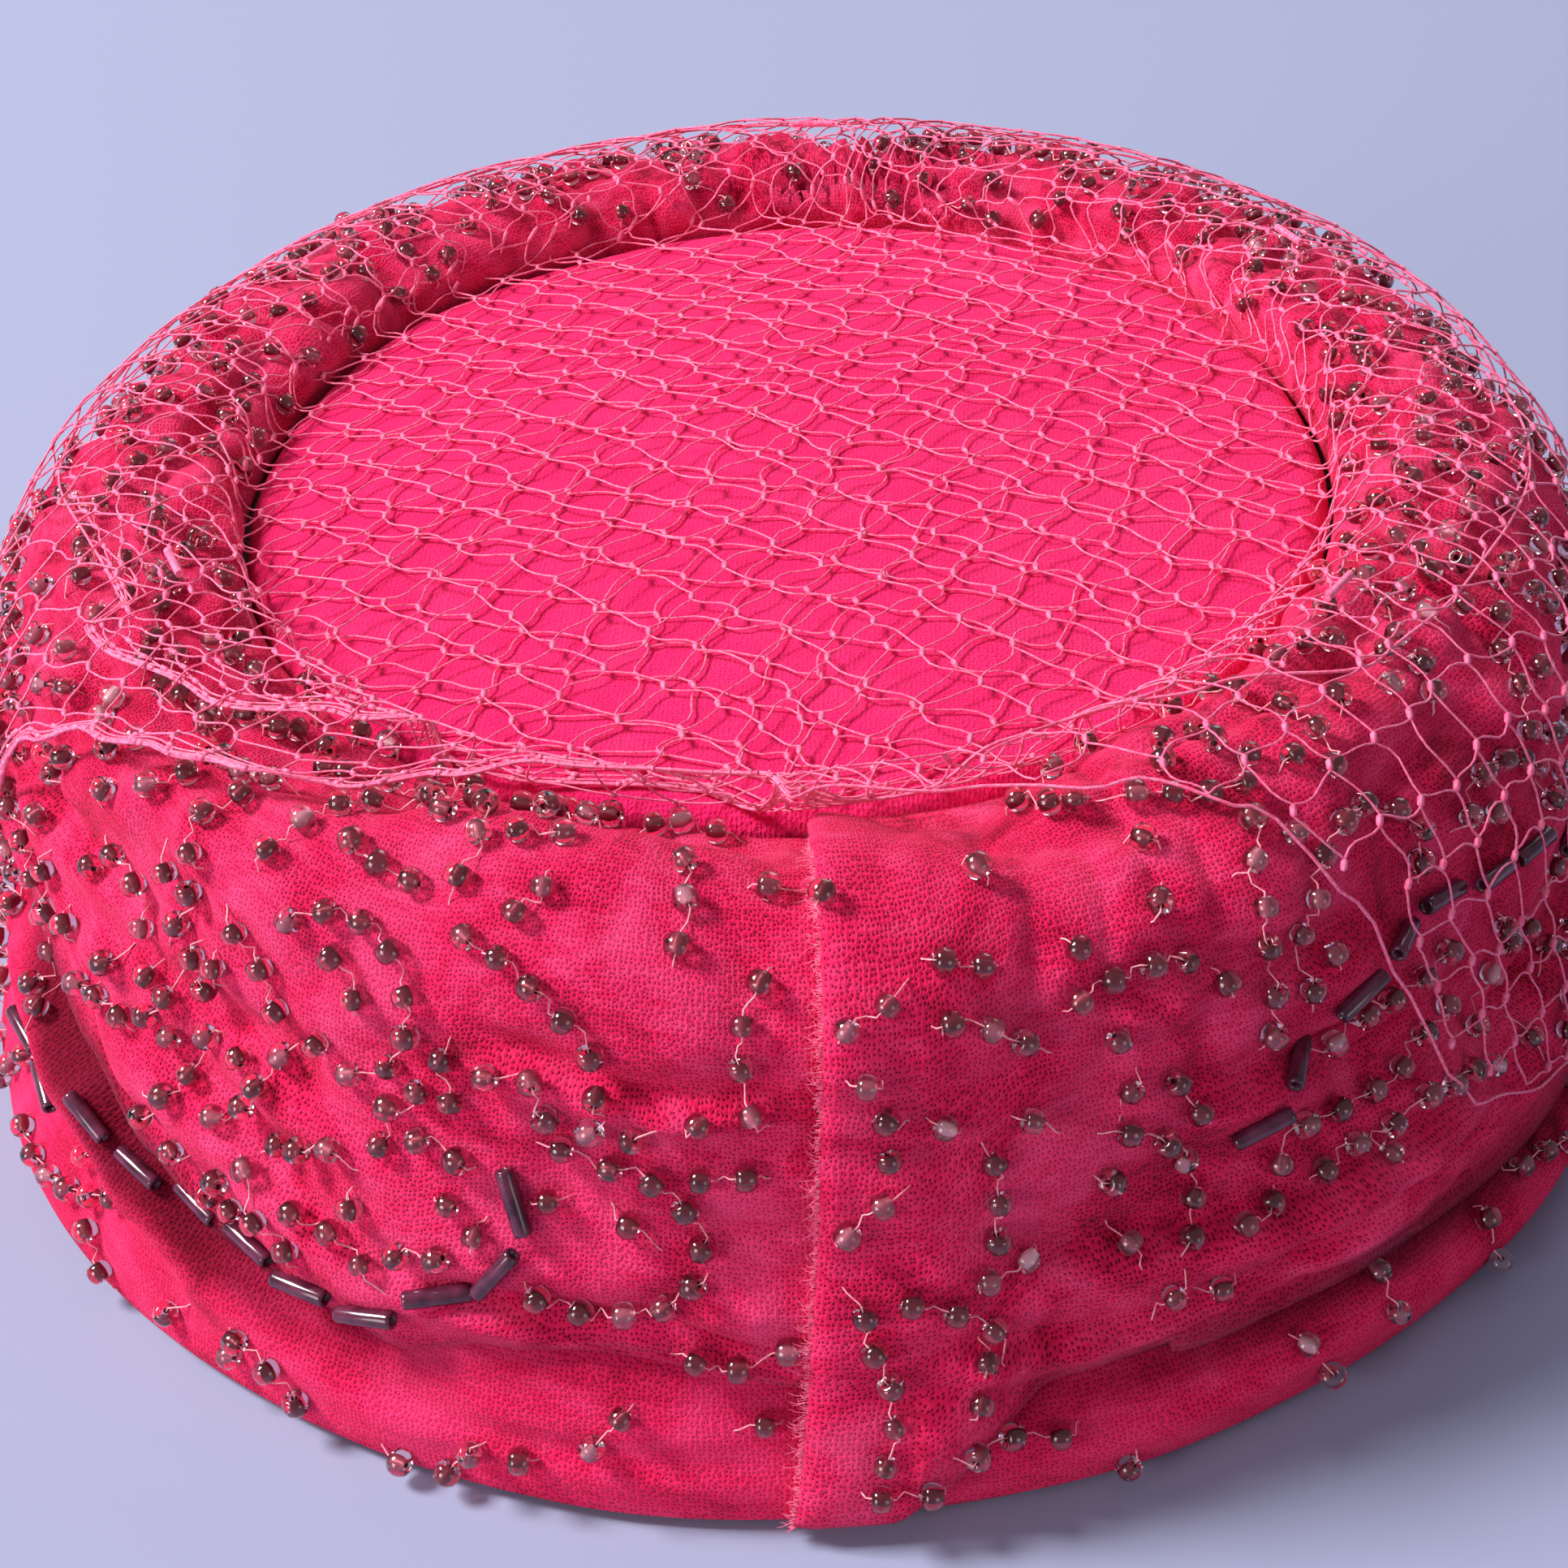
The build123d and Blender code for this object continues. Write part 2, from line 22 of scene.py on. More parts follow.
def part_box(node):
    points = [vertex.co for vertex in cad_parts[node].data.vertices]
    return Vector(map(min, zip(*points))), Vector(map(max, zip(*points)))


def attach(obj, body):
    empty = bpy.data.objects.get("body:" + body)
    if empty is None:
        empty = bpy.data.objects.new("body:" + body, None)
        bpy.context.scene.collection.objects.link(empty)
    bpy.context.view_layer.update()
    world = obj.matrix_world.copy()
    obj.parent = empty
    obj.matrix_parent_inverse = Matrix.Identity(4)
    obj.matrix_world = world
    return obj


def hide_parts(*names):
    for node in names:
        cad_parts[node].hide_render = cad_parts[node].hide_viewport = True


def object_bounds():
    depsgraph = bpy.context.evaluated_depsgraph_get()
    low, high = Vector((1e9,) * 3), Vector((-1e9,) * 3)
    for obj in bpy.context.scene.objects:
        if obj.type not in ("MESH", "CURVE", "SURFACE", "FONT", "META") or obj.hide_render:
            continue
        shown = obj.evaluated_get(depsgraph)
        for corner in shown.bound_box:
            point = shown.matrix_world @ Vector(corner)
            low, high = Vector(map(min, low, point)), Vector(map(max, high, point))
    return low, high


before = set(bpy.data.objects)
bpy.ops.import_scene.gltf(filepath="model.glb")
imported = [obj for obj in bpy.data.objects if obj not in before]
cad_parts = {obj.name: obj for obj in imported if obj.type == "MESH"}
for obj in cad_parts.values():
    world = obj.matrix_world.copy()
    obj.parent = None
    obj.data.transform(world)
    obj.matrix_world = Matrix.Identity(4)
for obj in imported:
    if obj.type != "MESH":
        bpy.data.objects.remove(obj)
MM = 0.001


def as_lists(box):
    """A box of two corners as plain lists of numbers."""
    return [[float(value) for value in corner] for corner in box]


cad_box = as_lists(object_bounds())
print("nodes", len(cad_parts), "box", cad_box)

# %% [markdown]
# ## The camera
#
# The hat is seen from behind the wearer and from above, with a short portrait lens
# close by.  The camera is aimed by given numbers: a distance from a point on the hat's axis, an
# elevation, a turn round the hat and a small roll.

# %% Set the camera
CAMERA_DISTANCE = 0.331
CAMERA_AIM_HEIGHT = 0.0114
CAMERA_ELEVATION = math.radians(35.3)
CAMERA_TURN = math.radians(4.3)
CAMERA_ROLL = math.radians(-2.8)
CAMERA_LENS = 65.4
CAMERA_SHIFT = -0.0114


def make_camera():
    """A camera that looks at the hat's axis from its back."""
    data = bpy.data.cameras.new("camera")
    data.lens = CAMERA_LENS
    data.sensor_width = 36.0
    data.shift_x = CAMERA_SHIFT
    data.clip_start = 0.01
    camera = bpy.data.objects.new("camera", data)
    bpy.context.collection.objects.link(camera)
    level = math.cos(CAMERA_ELEVATION)
    away = Vector((math.sin(CAMERA_TURN) * level, -math.cos(CAMERA_TURN) * level,
                   math.sin(CAMERA_ELEVATION)))
    turn = away.to_track_quat("Z", "Y").to_matrix().to_4x4()
    place = Matrix.Translation(Vector((0, 0, CAMERA_AIM_HEIGHT)) + away * CAMERA_DISTANCE)
    camera.matrix_world = place @ turn @ Matrix.Rotation(CAMERA_ROLL, 4, "Z")
    bpy.context.scene.camera = camera
    return camera


camera = make_camera()
print("camera at", [round(value, 3) for value in camera.matrix_world.translation])

# %% [markdown]
# ## The shape that everything lies on
#
# The hat is an oval tube.  A place on it is an angle round the head line and a distance
# along its section.  The head line comes from the boxes of the CAD nodes, so the cloth
# still fits when the hat is made in another size.

# %% Measure the hat from the frame
RIM_OUT = 9.1           # rim of the base band outside the head line
ROLL_CREST = 17.5       # crest of the roll inside the head line
ROLL_INNER = 24.9       # inner wall of the roll inside the head line
ROLL_ABOVE_PLATE = 11.0
ROLL_RADIUS = 17.7      # round of the roll's outer shoulder
ROLL_RISE = 7.0         # height of the roll's inner round
FLARE = math.radians(14.1)
BAND_TOP = 18.4
BAND_TOP_OUT = 4.2
CROWN_DOME = 620.0
BACK = -86.0            # angle of the lapped edge at the back of the hat

rim_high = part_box("base_band")[1]
crown_low, crown_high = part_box("crown_velvet")
HALF_WIDTH = rim_high[0] / MM - RIM_OUT
HALF_LENGTH = rim_high[1] / MM - RIM_OUT
MEAN_HALF = (HALF_WIDTH + HALF_LENGTH) / 2
ROLL_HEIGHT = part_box("crown_plate")[1][2] / MM + ROLL_ABOVE_PLATE
ROLL_SPRING = ROLL_HEIGHT - ROLL_RISE
CROWN_TOP = crown_high[2] / MM
CROWN_FLOOR = crown_low[2] / MM
CROWN_WIDE = crown_high[0] / MM
CROWN_LONG = crown_high[1] / MM
SHOULDER_Z = ROLL_HEIGHT - ROLL_RADIUS
FOOT_D = -ROLL_CREST + ROLL_RADIUS * math.cos(FLARE)
FOOT_Z = SHOULDER_Z + ROLL_RADIUS * math.sin(FLARE)
print("head line", round(HALF_WIDTH, 2), round(HALF_LENGTH, 2), "roll", round(ROLL_HEIGHT, 2))


def outward(angle):
    """The level direction straight out of the head line at an angle in degrees."""
    turn = math.radians(angle)
    return Vector((math.cos(turn) / HALF_WIDTH, math.sin(turn) / HALF_LENGTH, 0)).normalized()


def head_point(angle, out, height):
    """A point moved outward from the head line, in millimetres."""
    turn = math.radians(angle)
    on_line = Vector((HALF_WIDTH * math.cos(turn), HALF_LENGTH * math.sin(turn), height))
    return on_line + outward(angle) * out


def ease(value, low, high):
    """A smooth step from 0 at low to 1 at high."""
    share = min(1.0, max(0.0, (value - low) / (high - low)))
    return share * share * (3 - 2 * share)


def bump(value, middle, width):
    """A smooth hill of height 1 round a middle value."""
    return math.exp(-((value - middle) / width) ** 2)


def half_turn(angle):
    """The same angle between -180 and 180 degrees."""
    return (angle + 180) % 360 - 180


def follow(stations, angle):
    """The value at an angle of a smooth line through (angle, value) stations."""
    first = stations[0][0]
    angle = (angle - first) % 360 + first
    for (start, low), (end, high) in zip(stations, stations[1:]):
        if angle <= end:
            return low + (high - low) * ease(angle, start, end)
    return stations[-1][1]


def ripple(angle, across, wide, tall, seed):
    """Smooth noise on the tube, wide millimetres round it and tall along its section."""
    turn = math.radians(angle)
    reach = MEAN_HALF / wide
    return noise.noise(Vector((math.cos(turn) * reach + seed * 3.1,
                               math.sin(turn) * reach + seed * 1.7,
                               across / tall + seed * 7.3)))

# %% [markdown]
# ## Where the beads are
#
# The CAD holds every bead as a plain tube.  Centres and directions are read from its
# meshes, so that the velvet can dimple under each stitch and each glass bead stands
# where it should.  The hole of a short tube runs the way in which its points spread
# most, which is the last eigenvector of their covariance.

# %% Read the beads from the frame
def islands(bm):
    """The separate groups of joined vertices in a mesh."""
    seen = set()
    for first in bm.verts:
        if first in seen:
            continue
        seen.add(first)
        group, waiting = [], [first]
        while waiting:
            vert = waiting.pop()
            group.append(vert)
            for edge in vert.link_edges:
                other = edge.other_vert(vert)
                if other not in seen:
                    seen.add(other)
                    waiting.append(other)
        yield group


def tubes_of(node):
    """The centre and the direction of the hole of each tube in a CAD node."""
    bm = bmesh.new()
    bm.from_mesh(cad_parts[node].data)
    bmesh.ops.remove_doubles(bm, verts=bm.verts, dist=1e-6)
    places = []
    for group in islands(bm):
        points = np.array([vert.co for vert in group]) / MM
        centre = points.mean(axis=0)
        axes = np.linalg.eigh(np.cov((points - centre).T))[1]
        places.append((Vector(centre), Vector(axes[:, 2])))
    bm.free()
    return places


BEAD_NODES = sorted(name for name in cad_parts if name.startswith("seed_beads"))
seed_places = {node: tubes_of(node) for node in BEAD_NODES}
bugle_places = tubes_of("bugle_beads")
stitch_tree = KDTree(sum(len(places) for places in seed_places.values()))
for places in seed_places.values():
    for centre, _ in places:
        stitch_tree.insert(centre, 0)
stitch_tree.balance()
print("seed beads", sum(len(places) for places in seed_places.values()),
      "bugles", len(bugle_places))

# %% [markdown]
# ## Finishes
#
# Velvet is a short pile on a woven ground.  Its colour changes with the way the pile
# leans, and its edges glow where light passes through the pile tips, which is what the
# sheen of the Principled shader does.  The pattern is shared by three velvets, so it is
# a node group that puts out only masks and heights.  A second group makes the ribs and
# threads of the plain cloths.

# %% Helpers for materials
def new_material(name):
    """A material with a Principled shader, and its nodes, links and shader."""
    material = bpy.data.materials.new(name)
    material.use_nodes = True
    tree = material.node_tree
    return material, tree.nodes, tree.links, tree.nodes["Principled BSDF"]


def new_group(name, inputs, outputs):
    """An empty shader group with named value inputs and outputs."""
    group = bpy.data.node_groups.new(name, "ShaderNodeTree")
    for label, kind in inputs:
        group.interface.new_socket(label, in_out="INPUT", socket_type=kind)
    for label in outputs:
        group.interface.new_socket(label, in_out="OUTPUT", socket_type="NodeSocketFloat")
    start = group.nodes.new("NodeGroupInput")
    end = group.nodes.new("NodeGroupOutput")
    return group, group.nodes, group.links, start, end


def math_node(nodes, links, operation, *values):
    """A math node fed by sockets or plain numbers; returns its result."""
    node = nodes.new("ShaderNodeMath")
    node.operation = operation
    for socket, value in zip(node.inputs, values):
        if isinstance(value, (int, float)):
            socket.default_value = value
        else:
            links.new(value, socket)
    return node.outputs[0]


def on_object(nodes, links):
    """Object coordinates in millimetres."""
    place = nodes.new("ShaderNodeTexCoord")
    node = nodes.new("ShaderNodeVectorMath")
    node.operation = "SCALE"
    node.inputs["Scale"].default_value = 1 / MM
    links.new(place.outputs["Object"], node.inputs[0])
    return node.outputs[0]


def layer_value(nodes, name):
    """The value of a named layer of the mesh."""
    node = nodes.new("ShaderNodeAttribute")
    node.attribute_name = name
    return node.outputs["Fac"]


def darkened(nodes, links, colour, amount, dark):
    """A colour multiplied by a dark one as far as a mask says."""
    node = nodes.new("ShaderNodeMixRGB")
    node.blend_type = "MULTIPLY"
    node.inputs["Color2"].default_value = (*dark, 1)
    links.new(amount, node.inputs["Fac"])
    links.new(colour, node.inputs["Color1"])
    return node.outputs[0]


def set_values(node, values):
    """Fill the plain inputs of a node by their names."""
    for label, value in values.items():
        node.inputs[label].default_value = value


def dress(links, shader, colour, normal, values):
    """Feed a shader its colour and its normal, and fill its plain inputs."""
    links.new(colour, shader.inputs["Base Color"])
    links.new(normal, shader.inputs["Normal"])
    set_values(shader, values)


def ramp(nodes, links, value, stops):
    """A colour ramp over a value."""
    node = nodes.new("ShaderNodeValToRGB")
    while len(node.color_ramp.elements) < len(stops):
        node.color_ramp.elements.new(0.5)
    for element, (place, colour) in zip(node.color_ramp.elements, stops):
        element.position = place
        element.color = (*colour, 1.0)
    links.new(value, node.inputs["Fac"])
    return node.outputs["Color"]


def noise_node(nodes, links, vector, scale, detail=2.0, rough=0.5, warp=0.0):
    """A noise texture's value."""
    node = nodes.new("ShaderNodeTexNoise")
    set_values(node, {"Scale": scale, "Detail": detail, "Roughness": rough, "Distortion": warp})
    links.new(vector, node.inputs["Vector"])
    return node.outputs["Fac"]


def add_bump(nodes, links, height, strength, depth):
    """A bump node over a height, depth in millimetres; returns its normal."""
    node = nodes.new("ShaderNodeBump")
    set_values(node, {"Strength": strength, "Distance": depth * MM})
    links.new(height, node.inputs["Height"])
    return node.outputs["Normal"]

# %% The pile of velvet and the threads of plain cloth
TUFTS_TO_MM = 2.2


def make_pile_group():
    """Velvet over flat cloth coordinates in millimetres.

    Height is the pile, Nap the way it leans, and Ground the dark dots between tufts,
    which are at the middles of the cells and close where the nap lies over them.
    """
    group, nodes, links, start, end = new_group(
        "velvet_pile", [("Vector", "NodeSocketVector")], ["Height", "Nap", "Ground"])
    vector = start.outputs["Vector"]
    nap = noise_node(nodes, links, vector, 0.07, 4.0, 0.6, 1.2)
    brushed = nodes.new("ShaderNodeMapping")
    brushed.inputs["Scale"].default_value = (0.55, 1.9, 1.0)
    links.new(vector, brushed.inputs["Vector"])
    strokes = noise_node(nodes, links, brushed.outputs[0], 0.5, 3.0, 0.6)
    cells = nodes.new("ShaderNodeTexVoronoi")
    cells.voronoi_dimensions = "2D"
    set_values(cells, {"Scale": TUFTS_TO_MM, "Randomness": 0.62})
    links.new(vector, cells.inputs["Vector"])
    fuzz = noise_node(nodes, links, vector, 5.5, 2.0, 0.7)
    gaps = math_node(nodes, links, "MULTIPLY_ADD", cells.outputs["Distance"], -4.2, 1.35)
    broken = math_node(nodes, links, "MULTIPLY_ADD", fuzz, 1.2, -0.6)
    opened = math_node(nodes, links, "ADD", gaps, broken)
    brushed_over = math_node(nodes, links, "MULTIPLY_ADD", nap, -1.5, 0.7)
    ground = math_node(nodes, links, "ADD", opened, brushed_over)
    ground.node.use_clamp = True
    height = math_node(nodes, links, "ADD", fuzz, cells.outputs["Distance"])
    mixed = math_node(nodes, links, "MULTIPLY_ADD", strokes, 0.45, nap)
    links.new(height, end.inputs["Height"])
    links.new(mixed, end.inputs["Nap"])
    links.new(ground, end.inputs["Ground"])
    return group


def make_thread_group():
    """Crossing threads over cloth coordinates in millimetres: height and mask."""
    group, nodes, links, start, end = new_group(
        "thread_weave", [("Vector", "NodeSocketVector"), ("Warp", "NodeSocketFloat"),
                         ("Weft", "NodeSocketFloat")], ["Height", "Mask"])
    split = nodes.new("ShaderNodeSeparateXYZ")
    links.new(start.outputs["Vector"], split.inputs[0])
    rows = []
    for axis, label in (("X", "Warp"), ("Y", "Weft")):
        turns = math_node(nodes, links, "MULTIPLY", split.outputs[axis], start.outputs[label])
        wave = math_node(nodes, links, "SINE", turns)
        rows.append(math_node(nodes, links, "ABSOLUTE", wave))
    height = math_node(nodes, links, "MAXIMUM", rows[0], rows[1])
    slub = noise_node(nodes, links, start.outputs["Vector"], 0.9, 3.0, 0.6)
    worn = math_node(nodes, links, "MULTIPLY", height, slub)
    links.new(height, end.inputs["Height"])
    links.new(worn, end.inputs["Mask"])
    return group


PILE = make_pile_group()
WEAVE = make_thread_group()
print("groups", PILE.name, WEAVE.name)

# %% [markdown]
# Deep pink silk velvet is the hat's main cloth.  The nap mask moves its colour between
# a bright brushed pink and a darker one, and the ground shows as small dark dots between
# the tufts.  In the hollow under the drape's lower fold a layer of the mesh darkens the
# velvet nearly to plum, which is painted shade.  The drape and the base band are cut on
# different grains, so each takes the same recipe with its own colours; the crown's copy
# is painted lighter, with fewer dark dots, as painted light for the lit top of the hat.

# %% Make the velvets
def velvet(name, deep, middle, bright, dots, sheen):
    """Pile velvet on the piece's own flat cloth coordinates."""
    material, nodes, links, shader = new_material(name)
    cloth = nodes.new("ShaderNodeUVMap")
    cloth.uv_map = "cloth"
    pile = nodes.new("ShaderNodeGroup")
    pile.node_tree = PILE
    links.new(cloth.outputs["UV"], pile.inputs["Vector"])
    colour = ramp(nodes, links, pile.outputs["Nap"],
                  [(0.42, deep), (0.66, middle), (0.91, bright)])
    amount = math_node(nodes, links, "MULTIPLY", pile.outputs["Ground"], dots)
    dotted = darkened(nodes, links, colour, amount, (0.17, 0.06, 0.10))
    # painted shade: the layer darkens the velvet towards plum in the hollow under the drape's fold
    painted_fold_shade = darkened(nodes, links, dotted, layer_value(nodes, "painted_fold_shade"), (0.20, 0.12, 0.16))
    dress(links, shader, painted_fold_shade, add_bump(nodes, links, pile.outputs["Height"], 0.8, 0.35),
          {"Roughness": 0.9, "Specular IOR Level": 0.08, "Sheen Weight": sheen,
           "Sheen Roughness": 0.34, "Sheen Tint": (1.0, 0.18, 0.30, 1)})
    return material


VELVET_DRAPE = velvet("draped velvet", (0.38, 0.005, 0.034), (0.84, 0.014, 0.100),
                      (1.0, 0.058, 0.200), dots=1.0, sheen=0.42)
VELVET_BAND = velvet("band velvet", (0.42, 0.006, 0.038), (0.86, 0.014, 0.100),
                     (1.0, 0.042, 0.172), dots=0.8, sheen=0.32)
# painted light: the crown's copy of the velvet is lighter, with fewer dark dots, for the lit top
# of the hat
VELVET_CROWN = velvet("crown velvet", (0.90, 0.014, 0.130), (1.0, 0.018, 0.160),
                      (1.0, 0.030, 0.182), dots=0.25, sheen=0.30)
print("velvets", VELVET_DRAPE.name, VELVET_BAND.name, VELVET_CROWN.name)

# %% [markdown]
# ## Cloth from a flat strip
#
# Each velvet piece starts as the flat strip that a milliner would cut.  `create_grid`
# makes the strip, its flat coordinates are kept in a UV map in millimetres, and then
# every point is moved to its place on the hat.  A Solidify modifier gives the cloth its
# thickness on the inner side, so the raw end and the fold look like real cloth.

# %% Helpers for cloth
def make_strip(columns, rows):
    """A flat grid over the unit square, with an empty UV map named cloth."""
    bm = bmesh.new()
    bmesh.ops.create_grid(bm, x_segments=columns, y_segments=rows, size=0.5)
    bmesh.ops.translate(bm, verts=bm.verts, vec=(0.5, 0.5, 0))
    bm.loops.layers.uv.new("cloth")
    return bm


def wrap_strip(bm, place, flat, painted_fold_shade=lambda along, across: 0.0):
    """Move each point of the strip by its share along and across, and fill the UVs.

    The layer of painted shade takes how dark the velvet is painted there, from 0 to 1.
    """
    fold_shade_layer = bm.verts.layers.float.new("painted_fold_shade")
    shares = {vert: (vert.co.x, vert.co.y) for vert in bm.verts}
    uv = bm.loops.layers.uv["cloth"]
    for face in bm.faces:
        for loop in face.loops:
            loop[uv].uv = flat(*shares[loop.vert])
    for vert, (along, across) in shares.items():
        vert.co = place(along, across)
        vert[fold_shade_layer] = painted_fold_shade(along, across)


def piece_of(name, mesh, materials):
    """A smooth object for a finished mesh, which rides on the hat's body."""
    for material in materials:
        mesh.materials.append(material)
    for face in mesh.polygons:
        face.use_smooth = True
    piece = bpy.data.objects.new(name, mesh)
    bpy.context.collection.objects.link(piece)
    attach(piece, "root")
    return piece


def add_piece(name, bm, materials):
    """Turn a mesh in millimetres into a piece of the hat."""
    bmesh.ops.scale(bm, vec=(MM, MM, MM), verts=bm.verts)
    mesh = bpy.data.meshes.new(name)
    bm.to_mesh(mesh)
    bm.free()
    return piece_of(name, mesh, materials)


def thicken(piece, thickness):
    """Give a cloth its thickness behind its face side."""
    solid = piece.modifiers.new("cloth", "SOLIDIFY")
    solid.thickness = thickness * MM
    solid.offset = -1.0


def surface_of(bm):
    """A search tree over a mesh in millimetres."""
    bm.normal_update()
    return BVHTree.FromBMesh(bm)

# %% [markdown]
# ## The draped velvet
#
# One wide band of velvet is laid round the hat: from the inner wall of the padded roll,
# over its crest and down to a fold above the rim.  It starts at a raw edge at the back
# that lies on top, goes once round, and passes beneath its own start.  Draped velvet
# never lies flat.  Slow noise swells it over the wadding, stretched noise makes slack
# creases that run round the hat, and every stitched bead pulls a small dimple.

# %% Shape the section of the drape
DRAPE_TURN = 366.0          # degrees from the raw edge round to the hidden end
FOLD_ROUND = 1.1
FOLD_TUCK = 4.5             # cloth turned up behind the fold
RIM_LAP = 0.6               # height at which the lap ends, just over the rim
# (angle, height) of the lower fold
FOLD_LINE = [(-152, 31), (-145, 29), (-138, 25.5), (-131, 20.5), (-124, 16.6), (-117, 14),
             (-111, 12.6), (-105, 15.4), (-98, 16.8), (-87, 14.5), (-79, 12.2), (-67, 11.5),
             (-50, 10.6), (-30, 8.2), (0, 10), (45, 13), (90, 16), (135, 20), (170, 27), (208, 31)]
INNER_LENGTH = 12.0         # cloth on the inner side of the crest
SHOULDER_LENGTH = ROLL_RADIUS * (math.pi / 2 - FLARE)
INNER_ROUND = (ROLL_INNER - ROLL_CREST + ROLL_RISE) / 2


def straight_length(fold):
    """Length of the flat fall of the drape, from the shoulder to the round of its fold."""
    return (FOOT_Z - fold - FOLD_ROUND) / math.cos(FLARE)


def section_length(fold):
    """Travel at the hidden end of the section."""
    return SHOULDER_LENGTH + straight_length(fold) + math.pi * FOLD_ROUND + FOLD_TUCK


def section_point(travel, fold):
    """Distance out, height and the level part of the normal along the drape's section.

    Travel is zero at the crest, negative into the crown and positive down the outside.
    """
    if travel < 0:
        bend = min(math.pi / 2, -travel / INNER_ROUND)
        down = max(0.0, -travel - INNER_ROUND * math.pi / 2)
        out = -ROLL_CREST - (ROLL_INNER - ROLL_CREST) * math.sin(bend)
        return out, ROLL_SPRING + ROLL_RISE * math.cos(bend) - down, -math.sin(bend)
    if travel < SHOULDER_LENGTH:
        bend = travel / ROLL_RADIUS
        return (-ROLL_CREST + ROLL_RADIUS * math.sin(bend),
                SHOULDER_Z + ROLL_RADIUS * math.cos(bend), math.sin(bend))
    fall = travel - SHOULDER_LENGTH
    straight = straight_length(fold)
    level = math.cos(FLARE)
    if fall < straight:
        return FOOT_D + fall * math.sin(FLARE), FOOT_Z - fall * math.cos(FLARE), level
    turn = min(math.pi, (fall - straight) / FOLD_ROUND)
    tuck = max(0.0, fall - straight - math.pi * FOLD_ROUND)
    edge_out = FOOT_D + straight * math.sin(FLARE) - FOLD_ROUND
    return (edge_out + FOLD_ROUND * math.cos(turn) - tuck * math.sin(FLARE),
            fold + FOLD_ROUND - FOLD_ROUND * math.sin(turn) + tuck * math.cos(FLARE),
            level * math.cos(turn))


def fold_height(angle, lapped):
    """Height of the drape's lower fold; the lapped end runs down to the rim."""
    height = follow(FOLD_LINE, angle)
    if not lapped:
        return height
    return RIM_LAP + (height - RIM_LAP) * ease(angle, BACK + 5, BACK + 14)


def section_normal(angle, travel, level):
    """Outward normal of the drape's section, from its level part."""
    rise = math.sqrt(max(0.0, 1 - level * level)) if travel < SHOULDER_LENGTH else math.sin(FLARE)
    return outward(angle) * level + Vector((0, 0, rise))


print("section", round(section_length(16), 1), "mm below the crest")

# %% [markdown]
# The pull of hand draping is a sum of a few effects, each a short formula: swelling and
# noise, slack creases in their own places, dimples at the stitches, a gathered tuft at
# the front of the roll, a rounded lip where the tied net presses the roll down at the
# back, and a hollow under the fold on both sides of the lap, with painted shade in it.

# %% Drape the velvet
FRONT = 84.0                # angle of the gathered tuft
STITCH_NEAR = 4.5           # a stitch pulls on the velvet this far away
DIMPLE = 0.42
DEEPEST_DIMPLE = 0.65


def dimple(point):
    """How far the stitches of the nearest beads pull the velvet in."""
    depth = 0.0
    for _, _, distance in stitch_tree.find_range(point, STITCH_NEAR):
        depth += DIMPLE * bump(distance, 0, 2.0)
    return min(depth, DEEPEST_DIMPLE)


def crease(angle, height, start, end, drop, depth, wide=1.6):
    """A slack fold from one (angle, height) to another: a groove with a lip below it."""
    share = (angle - start[0]) / (end[0] - start[0])
    if not -0.15 < share < 1.15:
        return 0.0
    middle = start[1] + (end[1] - start[1]) * share - drop * math.sin(math.pi * share)
    fade = ease(share, -0.15, 0.2) * (1 - ease(share, 0.75, 1.15))
    away = (height - middle) / wide
    return depth * fade * (0.7 * bump(away, -1.3, 1) - bump(away, 0, 1))


# from and to as (angle, height), then sag, depth and width
CREASES = [((-106, 46), (-87.5, 43), 1.5, 2.0, 1.6), ((-92, 30.5), (-86.5, 30), 0.4, 0.9, 1.0),
           ((-124, 30), (-99, 20), 2.0, 1.3, 2.2), ((-142, 40), (-112, 34), -2.0, 1.6, 2.4),
           ((-108, 21.5), (-87.5, 19), 0.5, 1.6, 1.4), ((-96, 11), (-88, 9), 0.4, 0.7, 1.3),
           ((-80, 19), (-48, 17), 1.2, 1.8, 1.5), ((-72, 26), (-42, 23), 1.4, 1.9, 1.8),
           ((-68, 47), (-46, 42), -1.5, 1.8, 2.0), ((-64, 38), (-36, 31), 1.0, 1.7, 2.2),
           ((-50, 30), (-18, 26), 2.0, 1.9, 2.2), ((-154, 47), (-130, 44), 1.0, 1.8, 2.0),
           ((-152, 40), (-136, 33), 1.0, 1.5, 1.7), ((-44, 44), (-16, 38), 1.5, 1.7, 2.0)]


def valley(value, share):
    """Round ridges with narrow valleys between them, as pulled cloth has."""
    return min(1.0, abs(value) * 2.6) ** share - 0.55


def slack(angle, travel, height):
    """Distance by which the velvet stands off the padding."""
    back = bump(half_turn(angle + 98), 0, 38)
    swell = 1.6 * ripple(angle, travel, 24, 20, 1)
    folds = 2.3 * valley(ripple(angle, travel, 34, 9.0, 2), 0.75) * (1 - 0.7 * back)
    top = bump(travel, 2, 16)
    cross = (0.9 + 1.0 * top) * valley(ripple(angle, travel, 9.5, 19, 6), 0.8) * (1 - 0.8 * back)
    short = 0.5 * ripple(angle, travel, 9, 5, 5)
    pucker = 0.30 * ripple(angle, travel, 4.2, 3.4, 3)
    far = swell + folds + cross + short + pucker
    for start, end, drop, depth, wide in CREASES:
        far += crease(half_turn(angle), height, start, end, drop, depth, wide)
    return far


def tuft(angle, travel):
    """Sharp pleats that fan out from the gathered place at the front."""
    reach = bump(angle, FRONT, 15) * ease(travel, -14, -7) * (1 - ease(travel, 6, 20))
    fan = (angle - FRONT) / (0.7 + 0.045 * abs(travel + 6))
    pleat = abs(math.sin(fan * 1.6 + 0.5 * math.sin(travel * 0.4))) - 0.5
    return 3.0 * reach * pleat - 2.2 * bump(angle, FRONT + 1, 5) * bump(travel, -6, 7)


